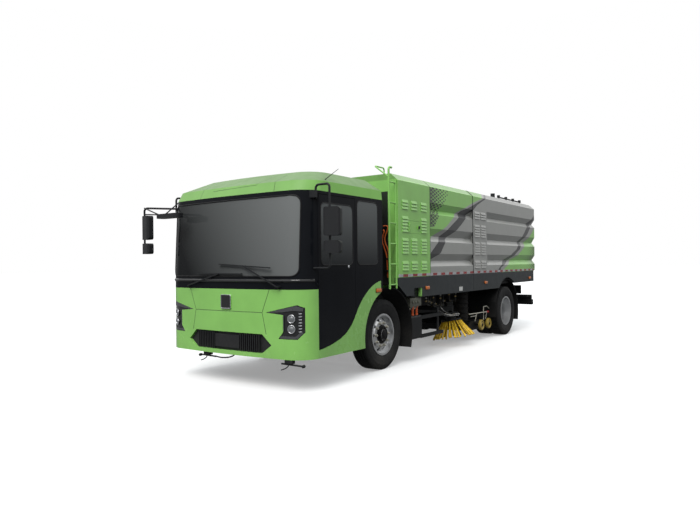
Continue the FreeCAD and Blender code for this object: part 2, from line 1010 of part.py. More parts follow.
def arm_bracket(side):
    """Bracket and upright pin that carry a brush arm."""
    face = S.rail_half_gap + S.rail_width
    half = S.arm_boss_radius
    low = face - S.rail_wall
    high = S.arm_pivot_x + half
    x0, x1 = (low, high) if side > 0 else (-high, -low)
    plate = box("ArmPlate", x0, x1, S.arm_pivot_y - half, S.arm_pivot_y + half,
                S.arm_z + S.arm_half_height + S.arm_gap, S.rail_bottom + S.rail_width)
    centre = S.arm_pivot_x if side > 0 else -S.arm_pivot_x
    drop = S.arm_half_height * 2 + S.arm_gap
    pin = rod("ArmPin", "z", centre, S.arm_pivot_y, S.arm_z - S.arm_half_height, S.arm_pin_radius,
              drop + S.arm_gap)
    cap = rod("ArmPinCap", "z", centre, S.arm_pivot_y, S.arm_z - S.arm_half_height - S.arm_gap - S.rail_wall,
              S.arm_boss_radius, S.rail_wall)
    stem = rod("ArmPinStem", "z", centre, S.arm_pivot_y, S.arm_z - S.arm_half_height - S.arm_gap,
               S.arm_pin_radius, S.arm_gap)
    return [plate, pin, stem, cap]


def cylinder_clevis():
    """Ears and pin under the crossmember that carry the tipping cylinder."""
    rear = S.cylinder_y - S.cross_depth / 2
    inner = S.cylinder_eye_half + S.clevis_gap
    parts = []
    for x in (inner, -inner - S.clevis_wall):
        tip = S.cylinder_y + S.cylinder_eye_radius
        low = S.cylinder_z - S.cylinder_eye_radius
        top = S.rail_bottom + S.rail_width
        parts.append(prism("CylinderEar", "YZ_Plane", x, x + S.clevis_wall,
                           [(rear - S.cross_inset, low), (tip, low), (tip, S.cylinder_z + S.cylinder_eye_radius / 2),
                            (rear, top), (rear - S.cross_inset, top)]))
    reach = inner + S.clevis_wall
    parts.append(rod("CylinderPin", "x", -reach, S.cylinder_y, S.cylinder_z, S.cylinder_pin_radius, reach * 2))
    return parts


def tow_jaw():
    """Two ears with one upright bore behind the last crossmember, for a towing pin."""
    half = S.tow_half_width
    mid = (S.rail_bottom + S.rail_top) / 2
    front = S.rail_rear - S.cross_inset - S.cross_depth
    back = S.rail_rear + S.tow_reach
    parts = [cross_member("TowCross", front, S.rail_bottom + S.cross_inset, S.rail_top - S.cross_inset)]
    ears = prism("TowEars", "YZ_Plane", -half, half,
                 [(front, mid - S.tow_gap / 2 - S.tow_ear), (back, mid - S.tow_gap / 2 - S.tow_ear),
                  (back, mid - S.tow_gap / 2), (S.rail_rear, mid - S.tow_gap / 2),
                  (S.rail_rear, mid + S.tow_gap / 2), (back, mid + S.tow_gap / 2),
                  (back, mid + S.tow_gap / 2 + S.tow_ear), (front, mid + S.tow_gap / 2 + S.tow_ear)])
    pocket(ears, "XY_Plane", S.rail_bottom, S.rail_top, Ring(ZERO, back - half, S.tow_bore))
    parts.append(ears)
    return parts


def cab_mounts():
    """Posts from the low rails up to the cab floor, and a rear mount for the cab."""
    parts = []
    for side in (1, -1):
        x = S.rail_half_gap if side > 0 else -S.rail_half_gap - S.rail_width
        front = S.rail_front + S.cross_depth
        parts.append(box("CabPost", x, x + S.rail_width, front, front + S.cross_depth,
                         S.low_rail_top - S.rail_wall, S.cab_floor - S.floor_wall))
        rear = S.cab_rear - S.cross_depth
        parts.append(box("CabRearPost", x, x + S.rail_width, rear, rear + S.cross_depth,
                         S.rail_top - S.cab_post_foot, S.seat_floor - S.floor_wall))
    return parts


# Axles, knuckles and springs

def make_front_axle():
    mid = S.tyre_radius - S.beam_drop
    half = S.beam_height / 2
    end = S.tyre_radius
    beam = prism("FrontBeam", "XZ_Plane", -S.beam_half_depth, S.beam_half_depth,
                 [(-S.beam_end, end - half), (-S.beam_rise_end, end - half), (-S.beam_rise_start, mid - half),
                  (S.beam_rise_start, mid - half), (S.beam_rise_end, end - half), (S.beam_end, end - half),
                  (S.beam_end, end + half), (S.beam_rise_end, end + half), (S.beam_rise_start, mid + half),
                  (-S.beam_rise_start, mid + half), (-S.beam_rise_end, end + half), (-S.beam_end, end + half)])
    pieces = [beam]
    for x in (S.kingpin_half_track, -S.kingpin_half_track):
        pieces.append(rod("AxleEye", "z", x, ZERO, end - S.eye_half_height, S.eye_radius, S.eye_half_height * 2))
        pieces.append(rod("Kingpin", "z", x, ZERO, end - S.kingpin_half_length, S.kingpin_radius,
                          S.kingpin_half_length * 2))
    node(fuse("FrontAxle", *pieces), "front_axle")


def make_knuckles():
    x = S.kingpin_half_track
    end = S.tyre_radius
    bore = S.kingpin_radius + S.running_clearance
    web = x + S.eye_radius + S.web_clearance
    inner = x - S.knuckle_half_width
    reach = S.eye_half_height + S.lug_clearance
    shape = new_body("Knuckle")
    pad(shape, "XZ_Plane", -S.knuckle_half_width, S.knuckle_half_width,
        [(inner, end + reach), (web, end + reach), (web, end - reach), (inner, end - reach),
         (inner, end - reach - S.lug_thickness), (web + S.web_thickness, end - reach - S.lug_thickness),
         (web + S.web_thickness, end + reach + S.lug_thickness), (inner, end + reach + S.lug_thickness)])
    pocket(shape, "XY_Plane", ZERO, end * 2, Ring(x, ZERO, bore))
    spindle = rod("Spindle", "x", web, ZERO, end, S.spindle_radius, S.spindle_end - web)
    left = fuse("KnuckleLeft", shape, spindle)
    node(left, "knuckle_left")
    mirror_node(left, "knuckle_right")


def make_rear_axle():
    body = new_body("RearAxle")
    tube = S.axle_tube_radius
    revolve(body, [(-S.rear_spindle_end, ZERO), (-S.rear_spindle_end, S.rear_spindle_radius),
                   (-S.rear_spindle_start, S.rear_spindle_radius), (-S.rear_spindle_start, tube),
                   (-S.diff_shoulder, tube), (-S.diff_half_width, S.diff_radius), (S.diff_half_width, S.diff_radius),
                   (S.diff_shoulder, tube), (S.rear_spindle_start, tube),
                   (S.rear_spindle_start, S.rear_spindle_radius), (S.rear_spindle_end, S.rear_spindle_radius),
                   (S.rear_spindle_end, ZERO)])
    node(body, "rear_axle", y=S.wheelbase, z=S.tyre_radius)
    front = S.wheelbase - S.diff_radius - S.motor_gap - S.motor_length
    low = S.tyre_radius - S.motor_drop
    motor = prism("Motor", "YZ_Plane", -S.motor_half_width, S.motor_half_width,
                  rectangle(front, front + S.motor_length, low, low + S.motor_height))
    node(motor, "drive_motor")


def leaf_outline(centre, seat, half, thickness, camber):
    """Side view of a leaf pack, flat on its seat and curved up to its eyes."""
    rise = seat + camber
    tip = S.spring_eye_radius
    bottom = (half * half + camber * camber) / (camber * 2)
    return [(centre - half, rise + thickness - tip), (centre - half, rise), Arc(bottom),
            (centre + half, rise), (centre + half, rise + thickness - tip),
            Arc(bottom * 2, left=False)]


def make_springs():
    x0 = S.spring_x - S.spring_half_width
    x1 = S.spring_x + S.spring_half_width
    shapes = []
    front_half = S.front_spring_half_length
    rear_half = S.rear_spring_half_length
    sets = [("FrontSpring", ZERO, front_spring_seat(), front_half, S.spring_thickness, S.spring_camber),
            ("RearSpring", S.wheelbase, rear_spring_seat(), rear_half, S.rear_spring_thickness,
             S.rear_spring_camber)]
    ends = spring_ends()
    for index, (name, centre, seat, half, thickness, camber) in enumerate(sets):
        leaf = prism(name, "YZ_Plane", x0, x1, leaf_outline(centre, seat, half, thickness, camber))
        pieces = [leaf]
        for y, eye, _ in ends[index * 2:index * 2 + 2]:
            pieces.append(rod("SpringEye", "x", x0, y, eye, S.spring_eye_radius, x1 - x0))
        whole = fuse(name + "Whole", *pieces)
        bores = [rod("EyeBore", "x", x0 - S.overrun, y, eye, S.spring_eye_radius / 2 + S.running_clearance,
                     x1 - x0 + S.overrun * 2) for y, eye, _ in ends[index * 2:index * 2 + 2]]
        spring = cut(name + "Bored", whole, *bores)
        shapes += [spring, mirror(name + "Right", spring)]
    node(group("LeafSprings", *shapes), "leaf_springs")


# Wheels

def tyre_profile(shift):
    """Half section of a tyre, as (x, radius) points, moved along its axle."""
    bead = S.bead_half_width
    tread = S.tread_half_width
    shoulder = S.tyre_radius - S.shoulder_drop
    heel = S.flange_radius + S.bead_clearance
    return [(shift - bead, S.rim_radius), (shift + bead, S.rim_radius), (shift + bead, heel),
            Arc(S.sidewall_radius), (shift + tread, shoulder), Arc(S.tread_crown_radius),
            (shift - tread, shoulder), Arc(S.sidewall_radius), (shift - bead, heel)]


def make_tyre(name, shift):
    body = new_body(name)
    revolve(body, tyre_profile(shift))
    return body


def rim_edge(shift, sign):
    """The flange on one side of a rim, from the tyre seat round to the inside of the barrel."""
    seat = S.flange_half_width - S.flange_lip * 2
    lip = S.flange_half_width - S.flange_lip
    return [(shift + seat * sign, S.rim_radius), (shift + lip * sign, S.flange_radius),
            (shift + S.flange_half_width * sign, S.flange_radius),
            (shift + S.flange_half_width * sign, S.rim_radius - S.rim_wall)]


def make_front_rim():
    bore = S.spindle_radius + S.running_clearance
    barrel = S.rim_radius - S.rim_wall
    face = S.front_disc_face
    wall = S.disc_wall
    root = face - S.disc_root_depth
    body = new_body("FrontRim")
    profile = [(-S.front_hub_back, bore), (S.front_bore_end, bore), (S.front_bore_end, ZERO),
               (S.front_cap_face, ZERO), (S.front_cap_face, S.front_cap_radius),
               (face, S.front_cap_radius), (face, S.disc_bolt_radius), (root, S.disc_root_radius),
               (root, barrel)]
    profile += rim_edge(ZERO, 1)[::-1]
    profile += rim_edge(ZERO, -1)
    profile += [(root - wall, barrel), (root - wall, S.disc_root_radius - wall),
                (face - wall, S.disc_bolt_radius - wall), (face - wall, S.front_hub_radius),
                (-S.front_hub_back, S.front_hub_radius)]
    revolve(body, profile)
    hole = pocket(body, "YZ_Plane", root - wall - S.overrun, face + S.overrun,
                  Ring(S.hand_hole_circle, ZERO, S.hand_hole_radius))
    polar(body, hole, "X_Axis", HAND_HOLES)
    nut = pad(body, "YZ_Plane", face - wall / 2, face + S.stud_height,
              Ring(S.stud_circle, ZERO, S.stud_radius))
    polar(body, nut, "X_Axis", TYRE_STUDS)
    return body


def make_rear_rim():
    """Two rims bolted face to face, with the hub that carries them."""
    bore = S.rear_spindle_radius + S.running_clearance
    barrel = S.rim_radius - S.rim_wall
    wall = S.disc_wall
    half = S.dual_half_spacing
    dish = S.rear_disc_dish
    body = new_body("RearRim")
    profile = [(-S.rear_hub_back, bore), (S.rear_bore_end, bore), (S.rear_bore_end, ZERO),
               (S.rear_hub_face, ZERO), (S.rear_hub_face, S.rear_hub_radius - wall * 2),
               (S.rear_hub_face - wall * 2, S.rear_hub_radius), (wall, S.rear_hub_radius),
               (wall, S.disc_bolt_radius), (dish + wall, S.disc_root_radius), (dish + wall, barrel)]
    profile += rim_edge(half, 1)[::-1]
    profile += rim_edge(half, -1)
    profile += [(dish, barrel), (dish, S.disc_root_radius + wall), (ZERO, S.disc_bolt_radius + wall),
                (-dish, S.disc_root_radius + wall), (-dish, barrel)]
    profile += rim_edge(-half, 1)[::-1]
    profile += rim_edge(-half, -1)
    profile += [(-dish - wall, barrel), (-dish - wall, S.disc_root_radius), (-wall, S.disc_bolt_radius),
                (-wall, S.rear_hub_radius), (-S.rear_hub_back, S.rear_hub_radius)]
    revolve(body, profile)
    hole = pocket(body, "YZ_Plane", -S.overrun, S.overrun, Ring(S.hand_hole_circle, ZERO, S.hand_hole_radius))
    polar(body, hole, "X_Axis", HAND_HOLES)
    nut = pad(body, "YZ_Plane", wall / 2, wall + S.stud_height, Ring(S.stud_circle, ZERO, S.stud_radius))
    polar(body, nut, "X_Axis", TYRE_STUDS)
    return body


def make_wheels():
    turned = (Vector(0, 0, 1), 180)
    for side, turn, sign in (("left", None, 1), ("right", turned, -1)):
        x = S.front_track_half * sign
        node(make_front_rim(), f"front_rim_{side}", x=x, z=S.tyre_radius, turn=turn)
        node(make_tyre("FrontTyre", ZERO), f"front_tyre_{side}", x=x, z=S.tyre_radius, turn=turn)
        x = S.rear_track_half * sign
        node(make_rear_rim(), f"rear_rims_{side}", x=x, y=S.wheelbase, z=S.tyre_radius, turn=turn)
        tyres = group("RearTyres", make_tyre("RearTyreOuter", S.dual_half_spacing),
                      make_tyre("RearTyreInner", -S.dual_half_spacing))
        node(tyres, f"rear_tyres_{side}", x=x, y=S.wheelbase, z=S.tyre_radius, turn=turn)


# Cab

def plan_outline(inset, rake, rear_inset=None):
    """Plan of the cab with its bowed front and round front corners."""
    rear_inset = inset if rear_inset is None else rear_inset
    half = S.body_half_width - inset
    corner = S.body_half_width - S.corner_width
    rear = S.cab_rear - rear_inset
    front = -S.front_overhang + S.nose_bow + inset + rake
    shoulder = front - inset + S.corner_depth
    bow = S.nose_bow
    face_radius = (corner * corner + bow * bow) / (bow * 2)
    bend = S.corner_radius - inset
    return [(half, rear), (half, shoulder), Arc(bend, left=False), (corner, front),
            Arc(face_radius, left=False), (-corner, front), Arc(bend, left=False), (-half, shoulder),
            (-half, rear)]


def cab_solid(name, inset):
    """The cab's outer form, upright to the belt and leaning back above it."""
    body = new_body(name)
    low = S.cab_bottom if inset is ZERO else S.cab_bottom - S.overrun
    pad(body, "XY_Plane", low, S.belt_height, plan_outline(inset, ZERO))
    loft(body, S.belt_height, plan_outline(inset, ZERO), S.cab_top, plan_outline(inset, S.windscreen_rake))
    return body


def sill_curve(drop):
    """Lower edge of the dark side panel, from the front corner up over the wheel arch."""
    return [(S.door_front, S.sill_front_z - drop), Arc(S.sill_front_radius),
            (S.sill_mid_y, S.sill_mid_z - drop), Arc(S.sill_turn_radius),
            (S.door_rear, S.sill_door_z - drop)]


def rear_sill_curve():
    return [(S.door_rear, S.sill_door_z), Arc(S.sill_crest_radius, left=False),
            (S.sill_rise_y, S.sill_rise_z), Arc(S.sill_rear_radius, left=False),
            (S.cab_rear - S.cab_wall, S.sill_rear_z)]


def door_outline(grow):
    """Side view of a cab door, grown by a gap on each side."""
    return [(S.door_front - grow, S.sill_front_z - grow), Arc(S.sill_front_radius),
            (S.sill_mid_y, S.sill_mid_z - grow), Arc(S.sill_turn_radius),
            (S.door_rear + grow, S.sill_door_z - grow), (S.door_rear + grow, S.door_top + grow),
            (S.door_front - grow, S.door_top + grow)]


def make_cab():
    side_low = S.body_half_width - S.corner_radius
    side_high = S.body_half_width + S.overrun
    far = S.front_overhang + S.overrun
    ring = cut("CabRing", cab_solid("CabOuter", ZERO), cab_solid("CabInner", S.cab_wall))
    glass_ring = cut("GlassRing", cab_solid("GlassOuter", ZERO), cab_solid("GlassInner", S.glass_wall))

    arch = rod("WheelArch", "x", -side_high, ZERO, S.tyre_radius, S.arch_radius, side_high * 2)
    opening_left = prism("DoorOpening", "YZ_Plane", side_low, side_high, door_outline(S.door_gap / 2))
    opening_right = mirror("DoorOpeningRight", opening_left)
    door_solid = prism("DoorSolid", "YZ_Plane", side_low, side_high, door_outline(-S.door_gap / 2))
    low = S.cab_bottom - S.overrun
    below = prism("BelowSill", "YZ_Plane", -side_high, side_high,
                  [(S.door_front, low)] + sill_curve(ZERO) + rear_sill_curve()[1:]
                  + [(S.cab_rear - S.cab_wall, low)])
    nose_zone = box("NoseZone", -side_high, side_high, -far, S.door_front, low, S.nose_top)
    back_zone = box("BackZone", -side_high, side_high, S.cab_rear - S.cab_wall, S.cab_rear + S.overrun,
                    low, S.seat_floor - S.floor_wall)

    window = prism("DoorWindow", "YZ_Plane", side_low, side_high,
                   rounded(S.door_window_front, S.door_window_rear, S.door_window_bottom, S.door_window_top,
                           S.window_corner))
    quarter = prism("QuarterWindow", "YZ_Plane", side_low, side_high,
                    rounded(S.quarter_front, S.quarter_rear, S.quarter_bottom, S.quarter_top, S.window_corner))
    quarter_right = mirror("QuarterWindowRight", quarter)
    screen = prism("ScreenOpening", "XZ_Plane", -far, S.door_front - S.overrun / 2,
                   rounded(-S.screen_half_width, S.screen_half_width, S.screen_bottom, S.screen_top,
                           S.screen_corner))

    floor = prism("CabFloor", "YZ_Plane", -S.body_half_width + S.cab_wall, S.body_half_width - S.cab_wall,
                  [(S.floor_front, S.cab_floor - S.floor_wall),
                   (S.floor_rear_foot + S.floor_wall, S.cab_floor - S.floor_wall),
                   (S.floor_rear_head + S.floor_wall, S.seat_floor - S.floor_wall),
                   (S.cab_rear, S.seat_floor - S.floor_wall), (S.cab_rear, S.seat_floor),
                   (S.floor_rear_head, S.seat_floor), (S.floor_rear_foot, S.cab_floor),
                   (S.floor_front, S.cab_floor)])
    floor_trim = common("FloorTrim", floor, cab_solid("FloorBound", S.cab_wall))

    shell = cut("ShellCut", ring, nose_zone, below, arch, back_zone, opening_left, opening_right, quarter,
                quarter_right, screen)
    hinges = cab_hinge_posts()
    node(fuse("CabShell", shell, floor_trim, *hinges), "cab_shell")

    bands = cut("ArchBands", common("ArchBandZone", ring, below), arch, opening_left, opening_right)
    band_zone = box("BandZone", -side_high, side_high, S.door_front, S.cab_rear - S.cab_wall, low, S.belt_height)
    node(common("ArchBandTrim", bands, band_zone), "arch_bands")

    door = cut("DoorCut", common("DoorPanel", ring, door_solid), window)
    leaves = door_hinge_leaves()
    door_left = fuse("DoorLeft", door, *leaves)
    glass_left = common("DoorGlassLeft", glass_ring, window)
    node(door_left, "cab_door_left")
    mirror_node(door_left, "cab_door_right")
    node(glass_left, "door_glass_left")
    mirror_node(glass_left, "door_glass_right")

    quarter_glass = common("QuarterGlass", glass_ring, quarter)
    node(both("QuarterGlasses", quarter_glass), "quarter_windows")
    node(common("Windscreen", glass_ring, screen), "windscreen")
    make_nose(ring, nose_zone)


def hinge_spots():
    """Heights of the two hinges of a cab door."""
    return [S.door_hinge_low, S.door_hinge_high]


def cab_hinge_posts():
    """Fixed half of each cab door hinge, with its pin."""
    parts = []
    x = S.body_half_width + S.hinge_offset
    for sign in (1, -1):
        for z in hinge_spots():
            centre = x * sign
            low = (S.body_half_width - S.hinge_leaf_wall) if sign > 0 else -x
            high = x if sign > 0 else -S.body_half_width + S.hinge_leaf_wall
            parts.append(box("HingeFoot", low, high, S.door_front - S.hinge_leaf, S.door_front - S.hinge_radius / 2,
                             z, z + S.hinge_height / 2))
            parts.append(rod("HingePost", "z", centre, S.door_front, z, S.hinge_radius, S.hinge_height / 2))
            parts.append(rod("HingePin", "z", centre, S.door_front, z, S.hinge_pin_radius, S.hinge_height))
    return parts


def door_hinge_leaves():
    """Moving half of each left hinge, bored for the pin."""
    parts = []
    x = S.body_half_width + S.hinge_offset
    for z in hinge_spots():
        base = z + S.hinge_height / 2 + S.lug_clearance
        height = S.hinge_height / 2 - S.lug_clearance
        foot = box("LeafFoot", S.body_half_width - S.hinge_leaf_wall, x, S.door_front + S.hinge_radius / 2,
                   S.door_front + S.hinge_leaf, base, base + height)
        knuckle = rod("LeafKnuckle", "z", x, S.door_front, base, S.hinge_radius, height)
        bore = rod("LeafBore", "z", x, S.door_front, base - S.overrun, S.hinge_pin_radius + S.running_clearance,
                   height + S.overrun * 2)
        parts.append(cut("Leaf", fuse("LeafWhole", foot, knuckle), bore))
    return parts


def grille_outline(inset):
    """Six-sided grille opening in the nose."""
    tip = S.grille_half_width - inset
    shoulder = S.grille_shoulder - inset
    low = S.grille_bottom + inset
    high = S.grille_top - inset
    return [(-tip, S.grille_tip_z), (-shoulder, low), (shoulder, low), (tip, S.grille_tip_z),
            (shoulder, high), (-shoulder, high)]


def lamp_outline():
    """Wing-shaped outline of the left headlamp, seen from the front."""
    return [(S.lamp_inner_x, S.lamp_inner_z), (S.lamp_step_x, S.lamp_step_z), (S.lamp_step_x, S.lamp_low_step_z),
            (S.lamp_low_inner_x, S.lamp_bottom_z), (S.lamp_low_outer_x, S.lamp_bottom_z),
            (S.lamp_outer_x, S.lamp_low_step_z), (S.lamp_outer_x, S.lamp_side_z),
            (S.lamp_crest_x, S.lamp_crest_z)]


def make_nose(ring, nose_zone):
    """Nose panel with its grille and headlamps let in."""
    far = S.front_overhang + S.overrun
    back = -S.front_overhang + S.corner_depth
    panel = common("NosePanel", ring, nose_zone)
    grille_cut = prism("GrilleCut", "XZ_Plane", -far, back, grille_outline(ZERO))
    lamp_cut = prism("LampCut", "XZ_Plane", -far, back + S.overrun, lamp_outline())
    lamp_cut_right = mirror("LampCutRight", lamp_cut)
    plinth_half = S.plinth_half_width
    front = -S.front_overhang
    plinth = prism("BadgePlinth", "XZ_Plane", front - S.plinth_depth, front + S.cab_wall / 2,
                   rounded(-plinth_half, plinth_half, S.plinth_bottom, S.plinth_top, S.plinth_depth))
    node(fuse("Nose", cut("NoseCut", panel, grille_cut, lamp_cut, lamp_cut_right), plinth), "cab_nose")

    inner = cab_solid("LampBound", S.lamp_recess + S.lamp_depth)
    plate = common("LampPlate", lamp_cut, cab_solid("LampFace", S.lamp_recess))
    lenses = [rod("Lens", "y", S.lens_x, -far, z, S.lens_radius, far + back) for z in (S.lens_high_z, S.lens_low_z)]
    domes = common("LampLenses", fuse("LensSet", *lenses), cab_solid("LensFace", S.lens_recess))
    lamp = cut("Headlamp", fuse("HeadlampWhole", plate, domes), inner)
    node(both("Headlamps", lamp), "headlamps")

    plate = common("GrillePlate", ring, prism("GrilleBlock", "XZ_Plane", -far, back, grille_outline(ZERO)))
    recess = cab_solid("GrilleRecess", S.grille_recess)
    plate_back = common("GrilleBack", plate, recess)
    ribs = []
    count = int((float(S.grille_shoulder) - float(S.grille_centre_half)) / float(S.rib_pitch))
    for side in (1, -1):
        for i in range(count):
            x = (S.grille_centre_half + S.rib_pitch * i + S.rib_width) * side
            ribs.append(box("Rib", x - S.rib_width / 2, x + S.rib_width / 2, -far, back,
                            S.grille_bottom + S.rib_width, S.grille_top - S.rib_width))
    centre_plate = box("GrilleCentre", -S.grille_centre_half + S.rib_width, S.grille_centre_half - S.rib_width,
                       -far, back, S.grille_bottom + S.rib_pitch, S.grille_top - S.rib_pitch)
    front_bars = common("RibTrim", plate, fuse("RibSet", centre_plate, *ribs))
    node(fuse("Grille", plate_back, front_bars), "front_grille")


def roof_solid(name, inset):
    """The roof cap's form in two lofted steps."""
    body = new_body(name)
    low = S.cab_top
    mid = S.roof_side_top - inset
    top = S.roof_top - inset
    pairs = [roof_outline(inset, ZERO, ZERO, ZERO), roof_outline(inset, S.roof_side_lean, S.roof_front_lean, ZERO),
             roof_outline(inset, S.roof_crown_side, S.roof_crown_front, S.roof_crown_rear)]
    loft(body, low, pairs[0], mid, pairs[1])
    loft(body, mid, pairs[1], top, pairs[2])
    return body


def make_roof():
    """Roof cap, open below, with the beacon on top."""
    shell = cut("RoofShell", roof_solid("RoofOuter", ZERO), roof_solid("RoofInner", S.roof_wall))
    beacon = rod("Beacon", "z", S.beacon_x, S.beacon_y, S.roof_top - S.roof_wall / 2, S.beacon_radius,
                 S.beacon_height)
    node(fuse("Roof", shell, beacon), "roof_cap")


def roof_outline(inset, side, front_lean, rear_lean):
    """Plan of the roof cap, drawn in from the cab's plan."""
    half = S.body_half_width - inset - side
    corner = S.body_half_width - S.corner_width - side
    front = -S.front_overhang + S.nose_bow + inset + S.windscreen_rake + front_lean
    shoulder = front - inset + S.corner_depth
    rear = S.cab_rear - inset - rear_lean
    bow = S.nose_bow
    face_radius = (corner * corner + bow * bow) / (bow * 2)
    bend = S.corner_radius - inset
    return [(half, rear), (half, shoulder), Arc(bend, left=False), (corner, front),
            Arc(face_radius, left=False), (-corner, front), Arc(bend, left=False), (-half, shoulder),
            (-half, rear)]


def strip(x0, z0, x1, z1, half):
    """Four corners of a straight bar from one point to another."""
    run = x1 - x0
    rise = z1 - z0
    length = Size(math.hypot(float(run), float(rise)), f"sqrt({run.text} ^ 2 + {rise.text} ^ 2)")
    dx = rise * half / length
    dz = run * half / length
    return [(x0 - dx, z0 + dz), (x0 + dx, z0 - dz), (x1 + dx, z1 - dz), (x1 - dx, z1 + dz)]


def make_wipers():
    """Two wipers, each a pivot, an arm and a blade in front of the windscreen."""
    y_face = -S.front_overhang
    bar = S.wiper_bar
    out = y_face - bar - S.wiper_gap
    places = (("WiperLeft", S.wiper_left_x, S.wiper_left_toe_x, S.wiper_left_toe_z,
               S.wiper_left_heel_x, S.wiper_left_heel_z),
              ("WiperRight", S.wiper_right_x, S.wiper_right_toe_x, S.wiper_right_toe_z,
               S.wiper_right_heel_x, S.wiper_right_heel_z))
    sets = []
    for name, x, toe_x, toe_z, heel_x, heel_z in places:
        pivot = rod("WiperPivot", "y", x, out, S.wiper_pivot_z, bar, S.nose_bow * 2)
        middle_x = (toe_x + heel_x) / 2
        middle_z = (toe_z + heel_z) / 2
        arm = prism("WiperArm", "XZ_Plane", out - bar, out, strip(x, S.wiper_pivot_z, middle_x, middle_z, bar / 2))
        blade = prism("WiperBlade", "XZ_Plane", out - bar / 2, out + bar, strip(toe_x, toe_z, heel_x, heel_z, bar / 2))
        sets.append(fuse(name, pivot, arm, blade))
    node(cut("WipersSeated", group("Wipers", *sets), cab_solid("WiperBound", ZERO)), "wipers")


def mirror_head(name, x, y, z, height):
    """Mirror housing, round in front view and in plan, turned toward the driver."""
    half = S.mirror_width / 2
    corner = S.mirror_corner
    face = prism(name + "Face", "XZ_Plane", ZERO, S.mirror_depth, rounded(-half, half, ZERO, height, corner))
    plan = prism(name + "Plan", "XY_Plane", ZERO, height, rounded(-half, half, ZERO, S.mirror_depth * 2, corner))
    head = common(name, face, plan)
    head.Placement = FreeCAD.Placement(Vector(), FreeCAD.Rotation(Vector(0, 0, 1), SIZES["mirror_turn"]))
    bind(head, "Placement.Base.x", x)
    bind(head, "Placement.Base.y", y)
    bind(head, "Placement.Base.z", z)
    return head


def make_mirrors():
    """Left mirrors on a hooked tube, and right mirrors with a look-down mirror before the corner."""
    tube = S.mirror_tube_radius
    thin = tube - S.mirror_brace_drop
    foot = S.body_half_width - S.mirror_foot_inset
    bound = cab_solid("MirrorBound", ZERO)
    roof_bound = roof_solid("MirrorRoofBound", ZERO)

    y = S.mirror_y
    rod_x = S.mirror_rod_x
    heads = [mirror_head("LeftBig", S.mirror_x, y, S.mirror_big_z, S.mirror_height),
             mirror_head("LeftSmall", S.mirror_x, y, S.mirror_small_z, S.mirror_small_height)]
    rod_y = y + S.mirror_depth / 2
    bracket = box("MirrorBracket", foot, S.mirror_hook_x + tube, rod_y - tube * 2, rod_y + tube,
                  S.mirror_hook_z - S.mirror_bracket_height, S.mirror_hook_z)
    hook_top = S.mirror_hook_z + S.mirror_hook_rise
    arm = pipe("MirrorHook", [(S.mirror_hook_x, rod_y, S.mirror_hook_z - tube), (S.mirror_hook_x, rod_y, hook_top),
                              (rod_x, rod_y, hook_top), (rod_x, rod_y, S.mirror_low_z), (foot, rod_y, S.mirror_low_z)],
               tube, S.mirror_bend)
    node(cut("MirrorLeftSeated", fuse("MirrorLeft", bracket, arm, *heads), bound), "mirror_left")

    y = S.right_mirror_y
    rod_x = S.right_rod_x
    knee_y = y + S.mirror_depth / 2
    heads = [mirror_head("RightBig", S.right_mirror_x, y, S.right_big_z, S.mirror_height),
             mirror_head("RightSmall", S.right_mirror_x, y, S.right_small_z, S.mirror_small_height)]
    arm = pipe("RightArm", [(foot, S.right_arm_y, S.right_arm_z), (rod_x, knee_y, S.right_arm_z + tube),
                            (rod_x, knee_y, S.right_small_z + S.mirror_small_height / 2)], tube, S.mirror_bend)
    low_z = S.right_arm_z - S.right_arm_gap
    lower = pipe("RightArmLow", [(foot, S.right_arm_y, low_z), (rod_x, knee_y, low_z + tube)], thin, S.mirror_bend)
    lead = -S.front_overhang - S.mirror_lead
    dish = prism("MirrorDish", "XY_Plane", S.dish_z, S.dish_z + S.dish_height,
                 rounded(S.dish_inner, S.dish_outer, lead, lead + S.dish_depth, S.dish_round))
    pivot = (S.dish_outer - S.dish_depth / 2, lead + S.dish_depth / 2, S.dish_z + S.dish_height)
    post = rod("RoofBracket", "x", foot, S.roof_arm_y, S.roof_arm_z, tube * 2, S.roof_arm_x - foot)
    high = (S.roof_arm_x - tube, S.roof_arm_y, S.roof_arm_z)
    dish_end = (S.dish_inner + S.dish_depth / 2, pivot[1], S.dish_z + S.dish_height / 2)
    drop = pipe("DishArm", [high, (high[0], S.right_arm_y, high[2]), (high[0], S.right_arm_y, low_z),
                            (dish_end[0], dish_end[1], low_z), dish_end], tube, S.mirror_bend)
    brace = pipe("DishBrace", [high, (pivot[0], pivot[1], S.dish_z + S.dish_height / 2)], thin, S.mirror_bend)
    stay = pipe("DishStay", [(pivot[0], pivot[1], S.dish_z + S.dish_height / 2), (rod_x, knee_y, S.right_arm_z + tube)],
                thin, S.mirror_bend)
    right = fuse("MirrorRightSet", arm, lower, dish, post, drop, brace, stay, *heads)
    node(mirror("MirrorRight", cut("MirrorRightSeated", right, bound, roof_bound)), "mirror_right")


